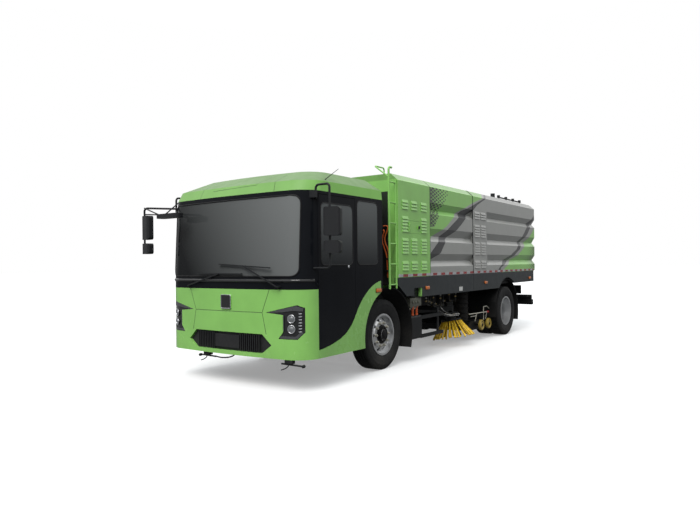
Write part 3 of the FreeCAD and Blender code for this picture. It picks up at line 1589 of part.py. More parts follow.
def make_interior():
    """Dashboard with console, steering column and wheel, and two seats."""
    dash = prism("Dash", "YZ_Plane", -S.dash_half_width, S.dash_half_width,
                 [(S.dash_front, S.dash_bottom), (S.dash_rear, S.dash_bottom),
                  (S.dash_rear, S.dash_top - S.dash_slope), (S.dash_rear - S.dash_slope, S.dash_top),
                  (S.dash_front, S.dash_top)])
    console = box("Console", -S.console_half_width, S.console_half_width, S.dash_front, S.dash_rear,
                  S.cab_floor, S.dash_bottom)
    tilt = FreeCAD.Rotation(Vector(1, 0, 0), -SIZES["steering_tilt"])
    column = unique("Part::Cylinder", "SteeringColumn")
    bind(column, "Radius", S.column_radius)
    bind(column, "Height", S.steering_radius * 2)
    spoke = unique("Part::Box", "SteeringSpoke")
    bind(spoke, "Length", S.steering_radius * 2)
    bind(spoke, "Width", S.spoke_width)
    bind(spoke, "Height", S.steering_rim_radius)
    bind(spoke, "Placement.Base.x", -S.steering_radius)
    bind(spoke, "Placement.Base.y", -S.spoke_width / 2)
    bind(spoke, "Placement.Base.z", -S.steering_rim_radius / 2)
    bind(column, "Placement.Base.z", -S.steering_radius * 2)
    tilted = unique("Part::MultiFuse", "SteeringSet")
    rim = unique("Part::Torus", "SteeringRing")
    bind(rim, "Radius1", S.steering_radius)
    bind(rim, "Radius2", S.steering_rim_radius)
    tilted.Shapes = [rim, column, spoke]
    tilted.Placement = FreeCAD.Placement(Vector(), tilt)
    bind(tilted, "Placement.Base.x", S.steering_x)
    bind(tilted, "Placement.Base.y", S.steering_y)
    bind(tilted, "Placement.Base.z", S.steering_z)
    node(fuse("Dashboard", dash, console, tilted), "dashboard")

    half = S.seat_half_width
    foot = S.seat_foot_half
    base_top = S.seat_floor + S.seat_base
    base = box("SeatBase", S.seat_x - foot, S.seat_x + foot, S.seat_front + S.seat_base, S.seat_back,
               S.seat_floor, base_top)
    cushion = prism("Cushion", "YZ_Plane", S.seat_x - half, S.seat_x + half,
                    rounded(S.seat_front, S.seat_back, base_top, base_top + S.cushion_height,
                            S.seat_round))
    back_low = S.seat_back - S.backrest_thickness
    top = base_top + S.cushion_height
    backrest = prism("Backrest", "XZ_Plane", back_low, S.seat_back,
                     rounded(S.seat_x - half, S.seat_x + half, base_top + S.cushion_height / 2,
                             top + S.backrest_height, S.backrest_thickness / 2))
    head = S.headrest_half_width
    headrest = prism("Headrest", "XZ_Plane", back_low + S.headrest_inset, S.seat_back - S.headrest_inset,
                     rounded(S.seat_x - head, S.seat_x + head, top + S.backrest_height - S.headrest_inset,
                             top + S.backrest_height + S.headrest_height, S.headrest_round))
    seat = fuse("Seat", base, cushion, backrest, headrest)
    node(both("Seats", seat), "seats")


# Fixed front body

def panel_heights(shares):
    """Heights on the side panel, from shares of the way from its foot to the roof edge."""
    return [S.panel_bottom + (BODY_TOP - S.panel_bottom) * share for share in shares]


def grooved_side():
    """Side of the body from the panel's foot to the roof, with three long V grooves."""
    out = S.body_half_width
    deep = out - S.groove_depth
    depths = (out, deep, out) * 3
    return [(out, S.panel_bottom), *zip(depths, panel_heights(GROOVE_SHARES)),
            (out, BODY_TOP), (out - S.roof_chamfer, S.roof_height)]


def plain_side():
    out = S.body_half_width
    return [(out, S.panel_bottom), (out, BODY_TOP), (out - S.roof_chamfer, S.roof_height)]


def section(side, lower):
    """A whole body section from one side and the lower corners under it."""
    right = lower + side
    left = [(-x, z) for x, z in reversed(right)]
    return right + left


def louvre_column(z_low, count):
    """Saw-tooth outline of one group of louvres on the left side, as (x, z) points."""
    face = S.body_half_width
    points = [(face - S.louvre_lift, z_low)]
    for i in range(count):
        foot = z_low + S.louvre_pitch * i
        points.append((face, foot))
        points.append((face + S.louvre_lift, foot))
        points.append((face + S.louvre_lift, foot + S.louvre_lip))
    top = z_low + S.louvre_pitch * count
    points.append((face, top))
    points.append((face - S.louvre_lift, top))
    return points


def louvres(name, starts, width, counts, groups):
    """Columns of louvre groups, each a saw-tooth padded along the body."""
    solids = []
    for start in starts:
        outlines = [louvre_column(z, count) for z, count in zip(groups, counts)]
        for outline in outlines:
            solids.append(prism(name, "XZ_Plane", start, start + width, outline))
    return solids




def make_service_housing():
    lower = [(S.keel_half_width, S.subframe_top), (S.keel_half_width, S.service_floor),
             (S.lower_half_width, S.service_floor), (S.lower_half_width, S.panel_bottom)]
    access_bottom, access_top = panel_heights(ACCESS_SHARES)
    shell = new_body("ServiceHousing")
    pad(shell, "XZ_Plane", S.service_front, S.tank_front, section(plain_side(), lower))
    hole_gap = S.access_gap
    pocket(shell, "YZ_Plane", S.body_half_width - S.access_depth, S.body_half_width + S.overrun,
           rectangle(S.access_front - hole_gap, S.access_rear + hole_gap, access_bottom - hole_gap,
                     access_top + hole_gap))
    starts = [S.service_louvre_1, S.service_louvre_3]
    left = louvres("ServiceLouvre", starts, S.service_louvre_width, SERVICE_LOUVRES, panel_heights(LOUVRE_SHARES))
    left += louvres("MiddleLouvre", [S.service_louvre_2], S.service_louvre_width, MIDDLE_LOUVRES,
                    panel_heights(MIDDLE_LOUVRE_SHARES))
    right = [mirror("ServiceLouvreRight", item) for item in left]
    hinges = access_hinge_posts()
    node(fuse("Service", shell, *left, *right, *hinges), "service_housing")

    wall = S.access_wall
    out = S.body_half_width
    panel = box("AccessPanel", out - wall, out, S.access_front, S.access_rear, access_bottom, access_top)
    latch_y = S.access_rear - S.latch_width * 2
    latch = box("Latch", out - wall / 2, out + wall / 2, latch_y, latch_y + S.latch_width,
                (access_bottom + access_top - S.latch_height) / 2,
                (access_bottom + access_top + S.latch_height) / 2)
    node(fuse("AccessDoor", panel, latch, *access_hinge_leaves()), "access_door")


def access_hinges():
    """Heights of the two hinges of the access door."""
    access_bottom, access_top = panel_heights(ACCESS_SHARES)
    inset = S.hinge_height / 2
    return [access_bottom + inset, access_top - inset - S.hinge_height]


def access_hinge_posts():
    """Fixed half of each access door hinge."""
    x = S.body_half_width + S.hinge_offset
    axis = S.access_front - S.access_gap / 2
    parts = []
    for z in access_hinges():
        parts.append(box("AccessFoot", S.body_half_width - S.hinge_leaf_wall, x, axis - S.hinge_leaf,
                         axis - S.hinge_radius / 2, z, z + S.hinge_height / 2))
        parts.append(rod("AccessPost", "z", x, axis, z, S.hinge_radius, S.hinge_height / 2))
        parts.append(rod("AccessPin", "z", x, axis, z, S.hinge_pin_radius, S.hinge_height))
    return parts


def access_hinge_leaves():
    x = S.body_half_width + S.hinge_offset
    axis = S.access_front - S.access_gap / 2
    parts = []
    for z in access_hinges():
        base = z + S.hinge_height / 2 + S.lug_clearance
        height = S.hinge_height / 2 - S.lug_clearance
        foot = box("AccessLeaf", S.body_half_width - S.hinge_leaf_wall, x, axis + S.hinge_radius / 2,
                   axis + S.hinge_leaf, base, base + height)
        knuckle = rod("AccessKnuckle", "z", x, axis, base, S.hinge_radius, height)
        bore = rod("AccessBore", "z", x, axis, base - S.overrun, S.hinge_pin_radius + S.running_clearance,
                   height + S.overrun * 2)
        parts.append(cut("AccessLeafCut", fuse("AccessLeafWhole", foot, knuckle), bore))
    return parts


def make_tank():
    lower = [(S.lower_half_width, S.subframe_top), (S.lower_half_width, S.panel_bottom)]
    body = new_body("WaterTank")
    pad(body, "XZ_Plane", S.tank_front, S.tank_rear, section(grooved_side(), lower))
    node(body, "water_tank")


def side_lamp(y):
    """Orange marker lamp on the left skirt."""
    half = S.side_lamp_length / 2
    return box("SideLamp", S.body_half_width - S.side_lamp_depth / 2, S.body_half_width + S.side_lamp_depth,
               y - half, y + half, S.side_lamp_z - S.side_lamp_height / 2, S.side_lamp_z + S.side_lamp_height / 2)


def make_skirts():
    inner = S.lower_half_width
    outer = S.body_half_width
    front = new_body("FrontSkirt")
    pad(front, "YZ_Plane", inner, outer,
        [(S.service_front, S.skirt_front_z), (S.skirt_front_step_y, S.skirt_front_step_z),
         (S.notch_front, S.skirt_front_step_z), (S.notch_front, S.notch_top), (S.notch_rear, S.notch_top),
         (S.notch_rear, S.skirt_bottom), (S.tank_rear, S.skirt_bottom), (S.tank_rear, S.panel_bottom),
         (S.service_front, S.panel_bottom)])
    with_lamp = fuse("FrontSkirtLamp", front, side_lamp(S.side_lamp_front_y))
    node(both("FrontSkirts", with_lamp), "front_skirts")

    rear = new_body("RearSkirt")
    arch = S.rear_arch_radius
    centre = S.wheelbase
    low = S.skirt_bottom
    rise = S.skirt_bottom - S.tyre_radius
    tail_rise = S.tail_skirt_z - S.tyre_radius
    pad(rear, "YZ_Plane", inner, outer,
        [(S.hopper_front, low), (centre - arch_reach(arch, rise), low), Arc(arch, left=False),
         (centre + arch_reach(arch, tail_rise), S.tail_skirt_z), (S.hopper_rear, S.tail_skirt_z),
         (S.hopper_rear, S.panel_bottom), (S.hopper_front, S.panel_bottom)])
    lamps = [side_lamp(S.side_lamp_mid_y), side_lamp(S.side_lamp_rear_y)]
    node(both("HopperSkirts", fuse("RearSkirtLamps", rear, *lamps)), "hopper_skirts")


def arch_reach(radius, rise):
    """Half width of a round arch at a height above its centre."""
    square = radius * radius - rise * rise
    return Size(math.sqrt(square.value), f"sqrt({square.text})")


# Tipping hopper

def make_hopper():
    lower = [(S.lower_half_width, S.hopper_floor), (S.lower_half_width, S.panel_bottom)]
    shell = new_body("Hopper")
    pad(shell, "XZ_Plane", S.hopper_front, S.pillar_rear, section(plain_side(), lower))
    pad(shell, "XZ_Plane", S.pillar_rear, S.hopper_rear, section(grooved_side(), lower))
    half = S.body_half_width - S.groove_depth - S.hopper_wall / 2
    top = S.roof_height - S.hopper_wall
    pocket(shell, "XZ_Plane", S.hopper_front + S.hopper_wall, S.hopper_rear + S.overrun,
           [(-half, S.hopper_floor + S.hopper_floor_wall), (half, S.hopper_floor + S.hopper_floor_wall),
            (half, top - S.roof_chamfer / 2), (half - S.roof_chamfer, top),
            (-half + S.roof_chamfer, top), (-half, top - S.roof_chamfer / 2)])
    louvre_set = louvres("PillarLouvre", [S.pillar_louvre_1, S.pillar_louvre_2], S.pillar_louvre_width,
                         SERVICE_LOUVRES, panel_heights(LOUVRE_SHARES))
    pieces = [shell] + louvre_set + [mirror("PillarLouvreRight", item) for item in louvre_set]
    pieces += hopper_bearers()
    pieces += hopper_clevis()
    pieces += door_hinge_ears()
    port = [rod("PortBore", "z", S.hose_x * sign, S.hose_y, S.hopper_floor - S.overrun,
                S.hose_radius - S.hose_wall, S.hopper_floor_wall + S.overrun * 2) for sign in (1, -1)]
    node(cut("HopperPorts", fuse("HopperWhole", *pieces), *port), "hopper")


def hopper_bearers():
    """Long bearers under the hopper floor, each with the hinge boss at its rear end."""
    parts = []
    inner = S.rail_half_gap + S.tip_ear_wall + S.tip_ear_gap
    outer = S.rail_half_gap + S.rail_width - S.tip_ear_wall - S.tip_ear_gap
    boss = S.tip_boss_radius
    bearer = new_body("Bearer")
    pad(bearer, "YZ_Plane", inner, outer,
        [(S.hopper_front, S.bearer_bottom), (S.tip_y - boss, S.tip_z), Arc(boss), (S.tip_y, S.tip_z - boss),
         Arc(boss), (S.tip_y + boss, S.tip_z), (S.tip_y + boss, S.hopper_floor),
         (S.hopper_front, S.hopper_floor)])
    pocket(bearer, "YZ_Plane", inner - S.overrun, outer + S.overrun,
           Ring(S.tip_y, S.tip_z, S.tip_pin_radius + S.running_clearance))
    parts += [bearer, mirror("BearerRight", bearer)]
    return parts


def hopper_clevis():
    """Plates under the hopper floor on each side of the rod's eye."""
    inner = S.cylinder_eye_half + S.clevis_gap
    parts = []
    for x in (inner, -inner - S.clevis_wall):
        parts.append(box("HopperClevis", x, x + S.clevis_wall, S.rod_eye_y - S.clevis_half_length,
                         S.rod_eye_y + S.clevis_half_length, S.rod_eye_z - S.clevis_reach, S.hopper_floor))
    return parts


def door_hinge_ears():
    """Ears with pins on the hopper roof that carry the rear door."""
    parts = []
    radius = S.door_knuckle_radius
    for sign in (1, -1):
        centre = S.door_knuckle_x * sign
        half = S.door_knuckle_length / 2
        parts.append(box("DoorEar", centre - half, centre + half, S.hopper_rear - S.door_knuckle_length,
                         S.door_axis_y - radius / 2, S.roof_height - radius, DOOR_AXIS_Z + radius / 2))
        parts.append(rod("DoorEarKnuckle", "x", centre - half, S.door_axis_y, DOOR_AXIS_Z, radius,
                         S.door_knuckle_length))
        pin_half = half + S.door_knuckle_length
        parts.append(rod("DoorPin", "x", centre - pin_half, S.door_axis_y, DOOR_AXIS_Z, S.door_pin_radius,
                         pin_half * 2))
    return parts


def make_hopper_door():
    lower = [(S.lower_half_width, S.hopper_floor), (S.lower_half_width, S.panel_bottom)]
    door = new_body("HopperDoor")
    pad(door, "XZ_Plane", S.door_plane, S.door_back, section(grooved_side(), lower))
    pieces = [door]
    radius = S.door_knuckle_radius
    for sign in (1, -1):
        for step in (1, -1):
            centre = S.door_knuckle_x * sign + (S.door_knuckle_length + S.lug_clearance) * step
            half = S.door_knuckle_length / 2
            knuckle = rod("DoorKnuckle", "x", centre - half, S.door_axis_y, DOOR_AXIS_Z, radius,
                          S.door_knuckle_length)
            strap = box("DoorStrap", centre - half, centre + half, S.door_axis_y, S.door_axis_y + S.door_strap_reach,
                        S.roof_height - S.door_strap, DOOR_AXIS_Z)
            bore = rod("DoorBore", "x", centre - half - S.overrun, S.door_axis_y, DOOR_AXIS_Z,
                       S.door_pin_radius + S.running_clearance, S.door_knuckle_length + S.overrun * 2)
            pieces.append(cut("DoorKnuckleCut", fuse("DoorKnuckleWhole", knuckle, strap), bore))
    node(fuse("HopperDoorWhole", *pieces), "hopper_door")


def make_cylinder():
    """Barrel and rod of the tipping cylinder, drawn along X and turned to their place."""
    length_y = float(S.rod_eye_y - S.cylinder_y)
    length_z = float(S.rod_eye_z - S.cylinder_z)
    lean = math.degrees(math.atan2(length_z, length_y))
    reach = math.hypot(length_y, length_z)
    turn = FreeCAD.Rotation(Vector(1, 0, 0), lean)
    bore = S.cylinder_pin_radius + S.running_clearance
    barrel = fuse("BarrelWhole", rod("Barrel", "y", ZERO, S.barrel_start, ZERO, S.barrel_radius,
                                     S.barrel_end - S.barrel_start),
                  rod("BarrelNeck", "y", ZERO, ZERO, ZERO, S.barrel_neck_radius, S.barrel_start),
                  rod("BarrelEye", "x", -S.cylinder_eye_half, ZERO, ZERO, S.cylinder_eye_radius,
                      S.cylinder_eye_half * 2))
    hollow = rod("BarrelBore", "y", ZERO, S.barrel_start + S.barrel_floor / 2, ZERO,
                 S.rod_radius + S.running_clearance, S.barrel_end)
    pin_half = S.barrel_radius * 2
    pin = rod("BarrelPinBore", "x", -pin_half, ZERO, ZERO, bore, pin_half * 2)
    whole = cut("TipCylinder", barrel, hollow, pin)
    whole.Placement = FreeCAD.Placement(Vector(), turn)
    node(whole, "tip_cylinder", y=S.cylinder_y, z=S.cylinder_z)

    eye = S.cylinder_eye_radius
    reach_size = Size(reach, f"sqrt(pow({(S.rod_eye_y - S.cylinder_y).text}; 2) + "
                             f"pow({(S.rod_eye_z - S.cylinder_z).text}; 2))")
    shaft = rod("RodShaft", "y", ZERO, S.rod_start, ZERO, S.rod_radius, reach_size - S.rod_start - eye / 2)
    end = rod("RodEye", "x", -S.cylinder_eye_half, reach_size, ZERO, eye, S.cylinder_eye_half * 2)
    hole_half = eye * 2
    hole = rod("RodEyeBore", "x", -hole_half, reach_size, ZERO, S.cylinder_pin_radius, hole_half * 2)
    rod_whole = cut("TipRod", fuse("TipRodWhole", shaft, end), hole)
    rod_whole.Placement = FreeCAD.Placement(Vector(), turn)
    node(rod_whole, "tip_rod", y=S.cylinder_y, z=S.cylinder_z)


# Mudguards, lockers and guard rails

def guard_outline(radius, wall, first, last):
    """A round mudguard strip about the wheel, between two angles from the rear horizontal."""
    def spot(r, angle):
        turn = math.radians(angle)
        return (r * Size(math.cos(turn), repr(math.cos(turn))), r * Size(math.sin(turn), repr(math.sin(turn))))
    return [spot(radius, first), spot(radius + wall, first), Arc(radius + wall), spot(radius + wall, last),
            spot(radius, last), Arc(radius, left=False)]


def shifted(outline, dy, dz):
    return [item if isinstance(item, Arc) else (item[0] + dy, item[1] + dz) for item in outline]


def make_mudguards():
    wall = S.guard_wall
    front = guard_outline(S.front_guard_radius, wall, SIZES["front_guard_low_angle"], SIZES["front_guard_top_angle"])
    guard = prism("FrontGuard", "YZ_Plane", S.front_guard_inner, S.guard_outer, shifted(front, ZERO, S.tyre_radius))
    face = S.rail_half_gap + S.rail_width
    half = S.guard_stay_width / 2
    rise = S.rail_top - half - S.tyre_radius
    y = arch_reach(S.front_guard_radius, rise)
    stay = box("FrontGuardStay", face, S.front_guard_inner + half, y - half, y + half,
               S.rail_top - half * 2, S.rail_top)
    left = fuse("FrontGuardSet", guard, stay)
    node(both("FrontGuards", left), "front_mudguards")

    outline = guard_outline(S.rear_guard_radius, wall, SIZES["rear_guard_rear_angle"],
                            SIZES["rear_guard_front_angle"])
    guard = prism("RearGuard", "YZ_Plane", S.rear_guard_inner, S.guard_outer,
                  shifted(outline, S.wheelbase, S.tyre_radius))
    stays = []
    reach = arch_reach(S.rear_guard_radius, rise)
    for y in (S.wheelbase - reach, S.wheelbase + reach):
        stays.append(box("RearGuardStay", face, S.rear_guard_inner + half, y - half, y + half,
                         S.rail_top - half * 2, S.rail_top))
    front_y, front_z = shifted(outline, S.wheelbase, S.tyre_radius)[4]
    flap = box("RearGuardFlap", S.rear_guard_inner, S.guard_outer, front_y - wall, front_y,
               S.guard_flap_bottom, front_z + wall)
    node(both("RearGuards", fuse("RearGuardSet", guard, flap, *stays)), "rear_mudguards")


def make_side_guards():
    locker = prism("Locker", "XZ_Plane", S.locker_front, S.locker_rear,
                   rounded(S.locker_inner, S.locker_outer, S.locker_bottom, S.locker_top, S.guard_bar_depth))
    face = S.rail_half_gap + S.rail_width
    arm = S.guard_arm
    pieces = [locker]
    for y in (S.locker_front + arm, S.locker_rear - arm * 2):
        pieces.append(box("LockerArm", face, S.locker_inner + arm * 2, y, y + arm,
                          S.locker_top - arm, S.rail_bottom + arm))
    outer = S.locker_outer
    for z in (S.guard_high_z, S.guard_low_z):
        pieces.append(box("GuardBar", outer - S.guard_bar_depth, outer, S.locker_rear - arm / 2, S.guard_rear,
                          z, z + S.guard_bar_height))
    post_y = S.guard_rear - S.guard_post_inset
    pieces.append(box("GuardPost", outer - S.guard_bar_depth - arm / 2, outer - S.guard_bar_depth, post_y,
                      post_y + arm, S.guard_low_z, S.rail_bottom + arm))
    pieces.append(box("GuardArm", face, outer - S.guard_bar_depth, post_y, post_y + arm, S.rail_bottom,
                      S.rail_bottom + arm))
    node(both("SideGuards", fuse("SideGuardLeft", *pieces)), "side_guards")


def make_ladder():
    """Side ladder ahead of the body's front corner, with a grab rail that runs back to the roof."""
    tube = S.ladder_tube
    rung = S.ladder_rung_radius
    x = S.ladder_x
    rear = S.service_front - S.ladder_stand_off
    front = rear - S.ladder_width
    top = S.roof_height + S.ladder_rise
    pieces = [pipe("FrontStile", [(x, front, S.ladder_bottom), (x, front, top), (x, front + S.ladder_bend * 2, top)],
                   tube, S.ladder_bend)]
    pieces.append(rod("RearStile", "z", x, rear, S.ladder_bottom, tube, BODY_TOP - S.ladder_bottom))
    for i in range(LADDER_RUNGS):
        z = S.ladder_rung_first + S.ladder_rung_pitch * i
        pieces.append(rod("Rung", "y", x, front, z, rung, S.service_front - front))
    grab_x = x - S.grab_reach
    grab_z = S.roof_height + S.grab_rise
    seat_y = S.service_front + S.grab_seat
    pieces.append(pipe("GrabRail", [(x, front, S.roof_height - S.grab_foot_drop), (grab_x, front, grab_z),
                                    (grab_x, seat_y, grab_z), (grab_x, seat_y, S.roof_height)],
                       rung, S.ladder_bend))
    node(fuse("Ladder", *pieces), "ladder")


def make_pipe_frame():
    """Frame and pipes in the gap behind the cab."""
    bar = S.pipe_frame_bar
    x = S.pipe_frame_x
    y = S.pipe_frame_y
    pieces = []
    for sign in (1, -1):
        centre = x * sign
        pieces.append(box("PipePost", centre - bar / 2, centre + bar / 2, y, y + bar, S.rail_top, S.pipe_frame_top))
        foot_low = S.rail_half_gap if sign > 0 else -x - bar / 2
        foot_high = x + bar / 2 if sign > 0 else -S.rail_half_gap
        pieces.append(box("PipeFoot", foot_low, foot_high, y, y + bar, S.rail_top, S.rail_top + bar))
        pieces.append(rod("Pipe", "z", S.pipe_x * sign, y + bar / 2, S.pipe_frame_mid, S.pipe_radius,
                          S.pipe_frame_top - S.pipe_frame_mid))
    pieces.append(box("CableBox", x, S.cable_box_outer, y - bar / 2, y + bar + bar / 2,
                      S.cable_box_bottom, S.cable_box_top))
    for z in (S.pipe_frame_mid, S.pipe_frame_top - bar):
        pieces.append(box("PipeBeam", -x, x, y, y + bar, z, z + bar))
    node(fuse("PipeFrame", *pieces), "pipe_frame")


def make_cables():
    """Orange power cables from the service housing down to the rail, beside the pipe frame."""
    tubes = []
    for i in range(3):
        x = S.cable_x + S.cable_pitch * i
        route = [(x, S.service_front, S.cable_z), (x, S.cable_front, S.cable_z), (x, S.cable_front, S.cable_box_top)]
        tubes.append(pipe("Cable", route, S.cable_radius, S.cable_bend))
    node(group("Cables", *tubes), "power_cables")


def make_roof_rail():
    """Rail with knobbed posts on the hopper roof, and a round roof lamp."""
    bar = S.roof_rail_bar
    z = S.roof_height
    top = z + S.roof_rail_height
    x = S.roof_rail_x
    pieces = [box("RoofRail", x - bar / 2, x + bar / 2, S.roof_rail_front, S.roof_rail_rear, top - bar / 2, top)]
    for i in range(4):
        y = S.roof_rail_front + bar + S.roof_post_pitch * i
        pieces.append(rod("RoofPost", "z", x, y, z, bar / 2, S.roof_rail_height + bar / 2))
    lamp = rod("RoofLamp", "z", x, S.roof_lamp_y, z, S.roof_lamp_radius, S.roof_lamp_height)
    node(group("RoofRails", fuse("RoofRailSet", *pieces), lamp), "roof_rail")


# Sweeping gear

def brush_turn(sign):
    return FreeCAD.Rotation(Vector(0, 1, 0), -SIZES["brush_tilt"] * sign)


def make_brush():
    """Disc with tufts that splay out to the ground, drawn about its own shaft."""
    body = new_body("Brush")
    wall = S.brush_disc_wall
    pad(body, "XY_Plane", ZERO, wall, Ring(ZERO, ZERO, S.brush_disc_radius))
    half = S.tuft_width / 2
    tuft = pad(body, "XZ_Plane", -half, half,
               [(S.tuft_root_inner, wall / 2), (S.tuft_tip_inner, -S.tuft_length),
                (S.tuft_tip_outer, -S.tuft_length), (S.tuft_root_outer, wall / 2)])
    polar(body, tuft, "Z_Axis", TUFTS)
    pocket(body, "XY_Plane", -S.overrun, wall + S.overrun,
           Ring(ZERO, ZERO, S.brush_shaft_radius + S.running_clearance))
    return body


def make_brushes():
    for side, sign in (("left", 1), ("right", -1)):
        brush = make_brush()
        brush.Placement = FreeCAD.Placement(Vector(), brush_turn(sign))
        node(brush, f"brush_{side}", x=S.brush_x * sign, y=S.brush_y, z=S.brush_z)
        motor = make_brush_motor(sign)
        node(fuse("BrushArm", motor, make_arm_beam(sign)), f"brush_arm_{side}")


def make_brush_motor(sign):
    """Motor housing above the disc, with the shaft that the disc turns on."""
    base = S.brush_disc_wall + S.brush_gap
    housing = rod("BrushMotor", "z", ZERO, ZERO, base, S.brush_motor_radius, S.brush_motor_height)
    shaft = rod("BrushShaft", "z", ZERO, ZERO, ZERO, S.brush_shaft_radius, base + S.brush_shaft_grip)
    motor = fuse("BrushMotorSet", housing, shaft)
    motor.Placement = FreeCAD.Placement(Vector(), brush_turn(sign))
    bind(motor, "Placement.Base.x", S.brush_x * sign)
    bind(motor, "Placement.Base.y", S.brush_y)
    bind(motor, "Placement.Base.z", S.brush_z)
    return motor


def make_arm_beam(sign):
    """Arm from the upright pivot on the rail out to the motor housing."""
    x0 = S.arm_pivot_x * sign
    x1 = S.brush_x * sign
    half = S.arm_beam_width / 2
    low = S.arm_z - S.arm_half_height
    top = S.brush_z + S.brush_disc_wall + S.brush_motor_height
    beam = prism("ArmBeam", "XY_Plane", low, low + S.arm_beam_height,
                 [(x0 - half, S.arm_pivot_y), (x0 + half, S.arm_pivot_y), (x1 + half, S.brush_y - half),
                  (x1 + half, S.brush_y + half), (x1 - half, S.brush_y + half), (x1 - half, S.brush_y - half)])
    post = box("ArmPost", x1 - half, x1 + half, S.brush_y - half, S.brush_y + half, top - half, low + half)
    boss = rod("ArmBoss", "z", x0, S.arm_pivot_y, low, S.arm_boss_radius, S.arm_half_height * 2)
    bore = rod("ArmBore", "z", x0, S.arm_pivot_y, low - S.overrun, S.arm_pin_radius + S.running_clearance,
               S.arm_half_height * 2 + S.overrun * 2)
    return cut("ArmBored", fuse("ArmWhole", beam, boss, post), bore)


def make_nozzle():
    """Wide suction nozzle, open below, hung from the rails and carrying four wheels."""
    body = new_body("Nozzle")
    half = S.nozzle_half_width
    wall = S.nozzle_wall
    slope = S.nozzle_slope
    pad(body, "YZ_Plane", -half, half,
        [(S.nozzle_front, S.nozzle_bottom), (S.nozzle_rear, S.nozzle_bottom),
         (S.nozzle_rear, S.nozzle_top - slope / 2), (S.nozzle_rear - slope, S.nozzle_top),
         (S.nozzle_front + slope, S.nozzle_top), (S.nozzle_front, S.nozzle_top - slope / 2)])
    pocket(body, "YZ_Plane", -half + wall, half - wall,
           [(S.nozzle_front + wall, S.nozzle_bottom - S.overrun), (S.nozzle_rear - wall, S.nozzle_bottom - S.overrun),
            (S.nozzle_rear - wall, S.nozzle_top - slope / 2 - wall / 2), (S.nozzle_rear - slope, S.nozzle_top - wall),
            (S.nozzle_front + slope, S.nozzle_top - wall), (S.nozzle_front + wall, S.nozzle_top - slope / 2 - wall / 2)])
    for sign in (1, -1):
        pocket(body, "XY_Plane", S.nozzle_top - wall * 2, S.nozzle_top + S.overrun,
               Ring(S.hose_x * sign, S.hose_y, S.hose_radius - S.hose_wall))
    pieces = [body]
    face = S.rail_half_gap + S.rail_width
    bar = S.hanger_bar
    for sign in (1, -1):
        for y in (S.nozzle_wheel_front_y, S.nozzle_wheel_rear_y):
            pieces += wheel_bracket(sign, y)
        low, high = (face, face + bar) if sign > 0 else (-face - bar, -face)
        for y in (S.hanger_y, S.nozzle_rear - S.nozzle_slope - bar * 2):
            pieces.append(box("NozzleHanger", low, high, y, y + bar, S.nozzle_top - wall, S.rail_bottom + bar * 2))
    node(fuse("NozzleWhole", *pieces), "suction_nozzle")


def wheel_bracket(sign, y):
    """Bracket plate and stub axle of one nozzle wheel."""
    inner = S.nozzle_half_width - S.nozzle_wall
    near = S.nozzle_wheel_x - S.nozzle_wheel_half - S.brush_gap
    half = S.nozzle_bracket / 2
    z = S.nozzle_wheel_z
    low, high = (inner, near) if sign > 0 else (-near, -inner)
    plate = box("WheelPlate", low, high, y - half, y + half, z - half, z + half)
    start = inner if sign > 0 else -S.nozzle_wheel_x - S.nozzle_wheel_half - S.brush_gap
    axle = rod("WheelAxle", "x", start, y, z, S.nozzle_axle_radius,
               S.nozzle_wheel_x + S.nozzle_wheel_half + S.brush_gap - inner)
    return [plate, axle]


def make_nozzle_wheels():
    spots = (("front", S.nozzle_wheel_front_y), ("rear", S.nozzle_wheel_rear_y))
    for side, sign in (("left", 1), ("right", -1)):
        for name, y in spots:
            body = new_body("NozzleWheel")
            radius = S.nozzle_wheel_radius
            half = S.nozzle_wheel_half
            bore = S.nozzle_axle_radius + S.running_clearance
            hub = bore + half
            neck = radius - half - half / 2
            edge = radius - S.nozzle_wheel_round
            crown = half - S.nozzle_wheel_round
            revolve(body, [(-half, bore), (half, bore), (half, hub), (half / 2, hub + half / 2),
                           (half / 2, neck), (half, radius - half), (half, edge),
                           (crown, radius), (-crown, radius), (-half, edge),
                           (-half, radius - half), (-half / 2, neck), (-half / 2, hub + half / 2),
                           (-half, hub)])
            node(body, f"nozzle_wheel_{name}_{side}", x=S.nozzle_wheel_x * sign, y=y, z=S.nozzle_wheel_z)


def hose_profile():
    """Ribbed outline of a hose about its own axis, as (length, radius) points."""
    length = S.hose_top - S.nozzle_top
    points = [(ZERO, S.hose_radius - S.hose_wall), (length, S.hose_radius - S.hose_wall), (length, S.hose_radius)]
    count = int(float(length) / float(S.hose_rib_pitch)) - 1
    rib = S.hose_rib
    for i in reversed(range(count)):
        base = S.hose_rib_pitch / 2 + S.hose_rib_pitch * i
        points += [(base + rib * 2 + rib, S.hose_radius), (base + rib * 2, S.hose_radius + rib),
                   (base + rib, S.hose_radius + rib), (base, S.hose_radius)]
    points.append((ZERO, S.hose_radius))
    return points


def make_hoses():
    hose = new_body("Hose")
    revolve(hose, hose_profile())
    hose.Placement = FreeCAD.Placement(Vector(), FreeCAD.Rotation(Vector(0, 1, 0), -90))
    bind(hose, "Placement.Base.x", S.hose_x)
    bind(hose, "Placement.Base.y", S.hose_y)
    bind(hose, "Placement.Base.z", S.nozzle_top)
    node(both("Hoses", hose), "suction_hoses")


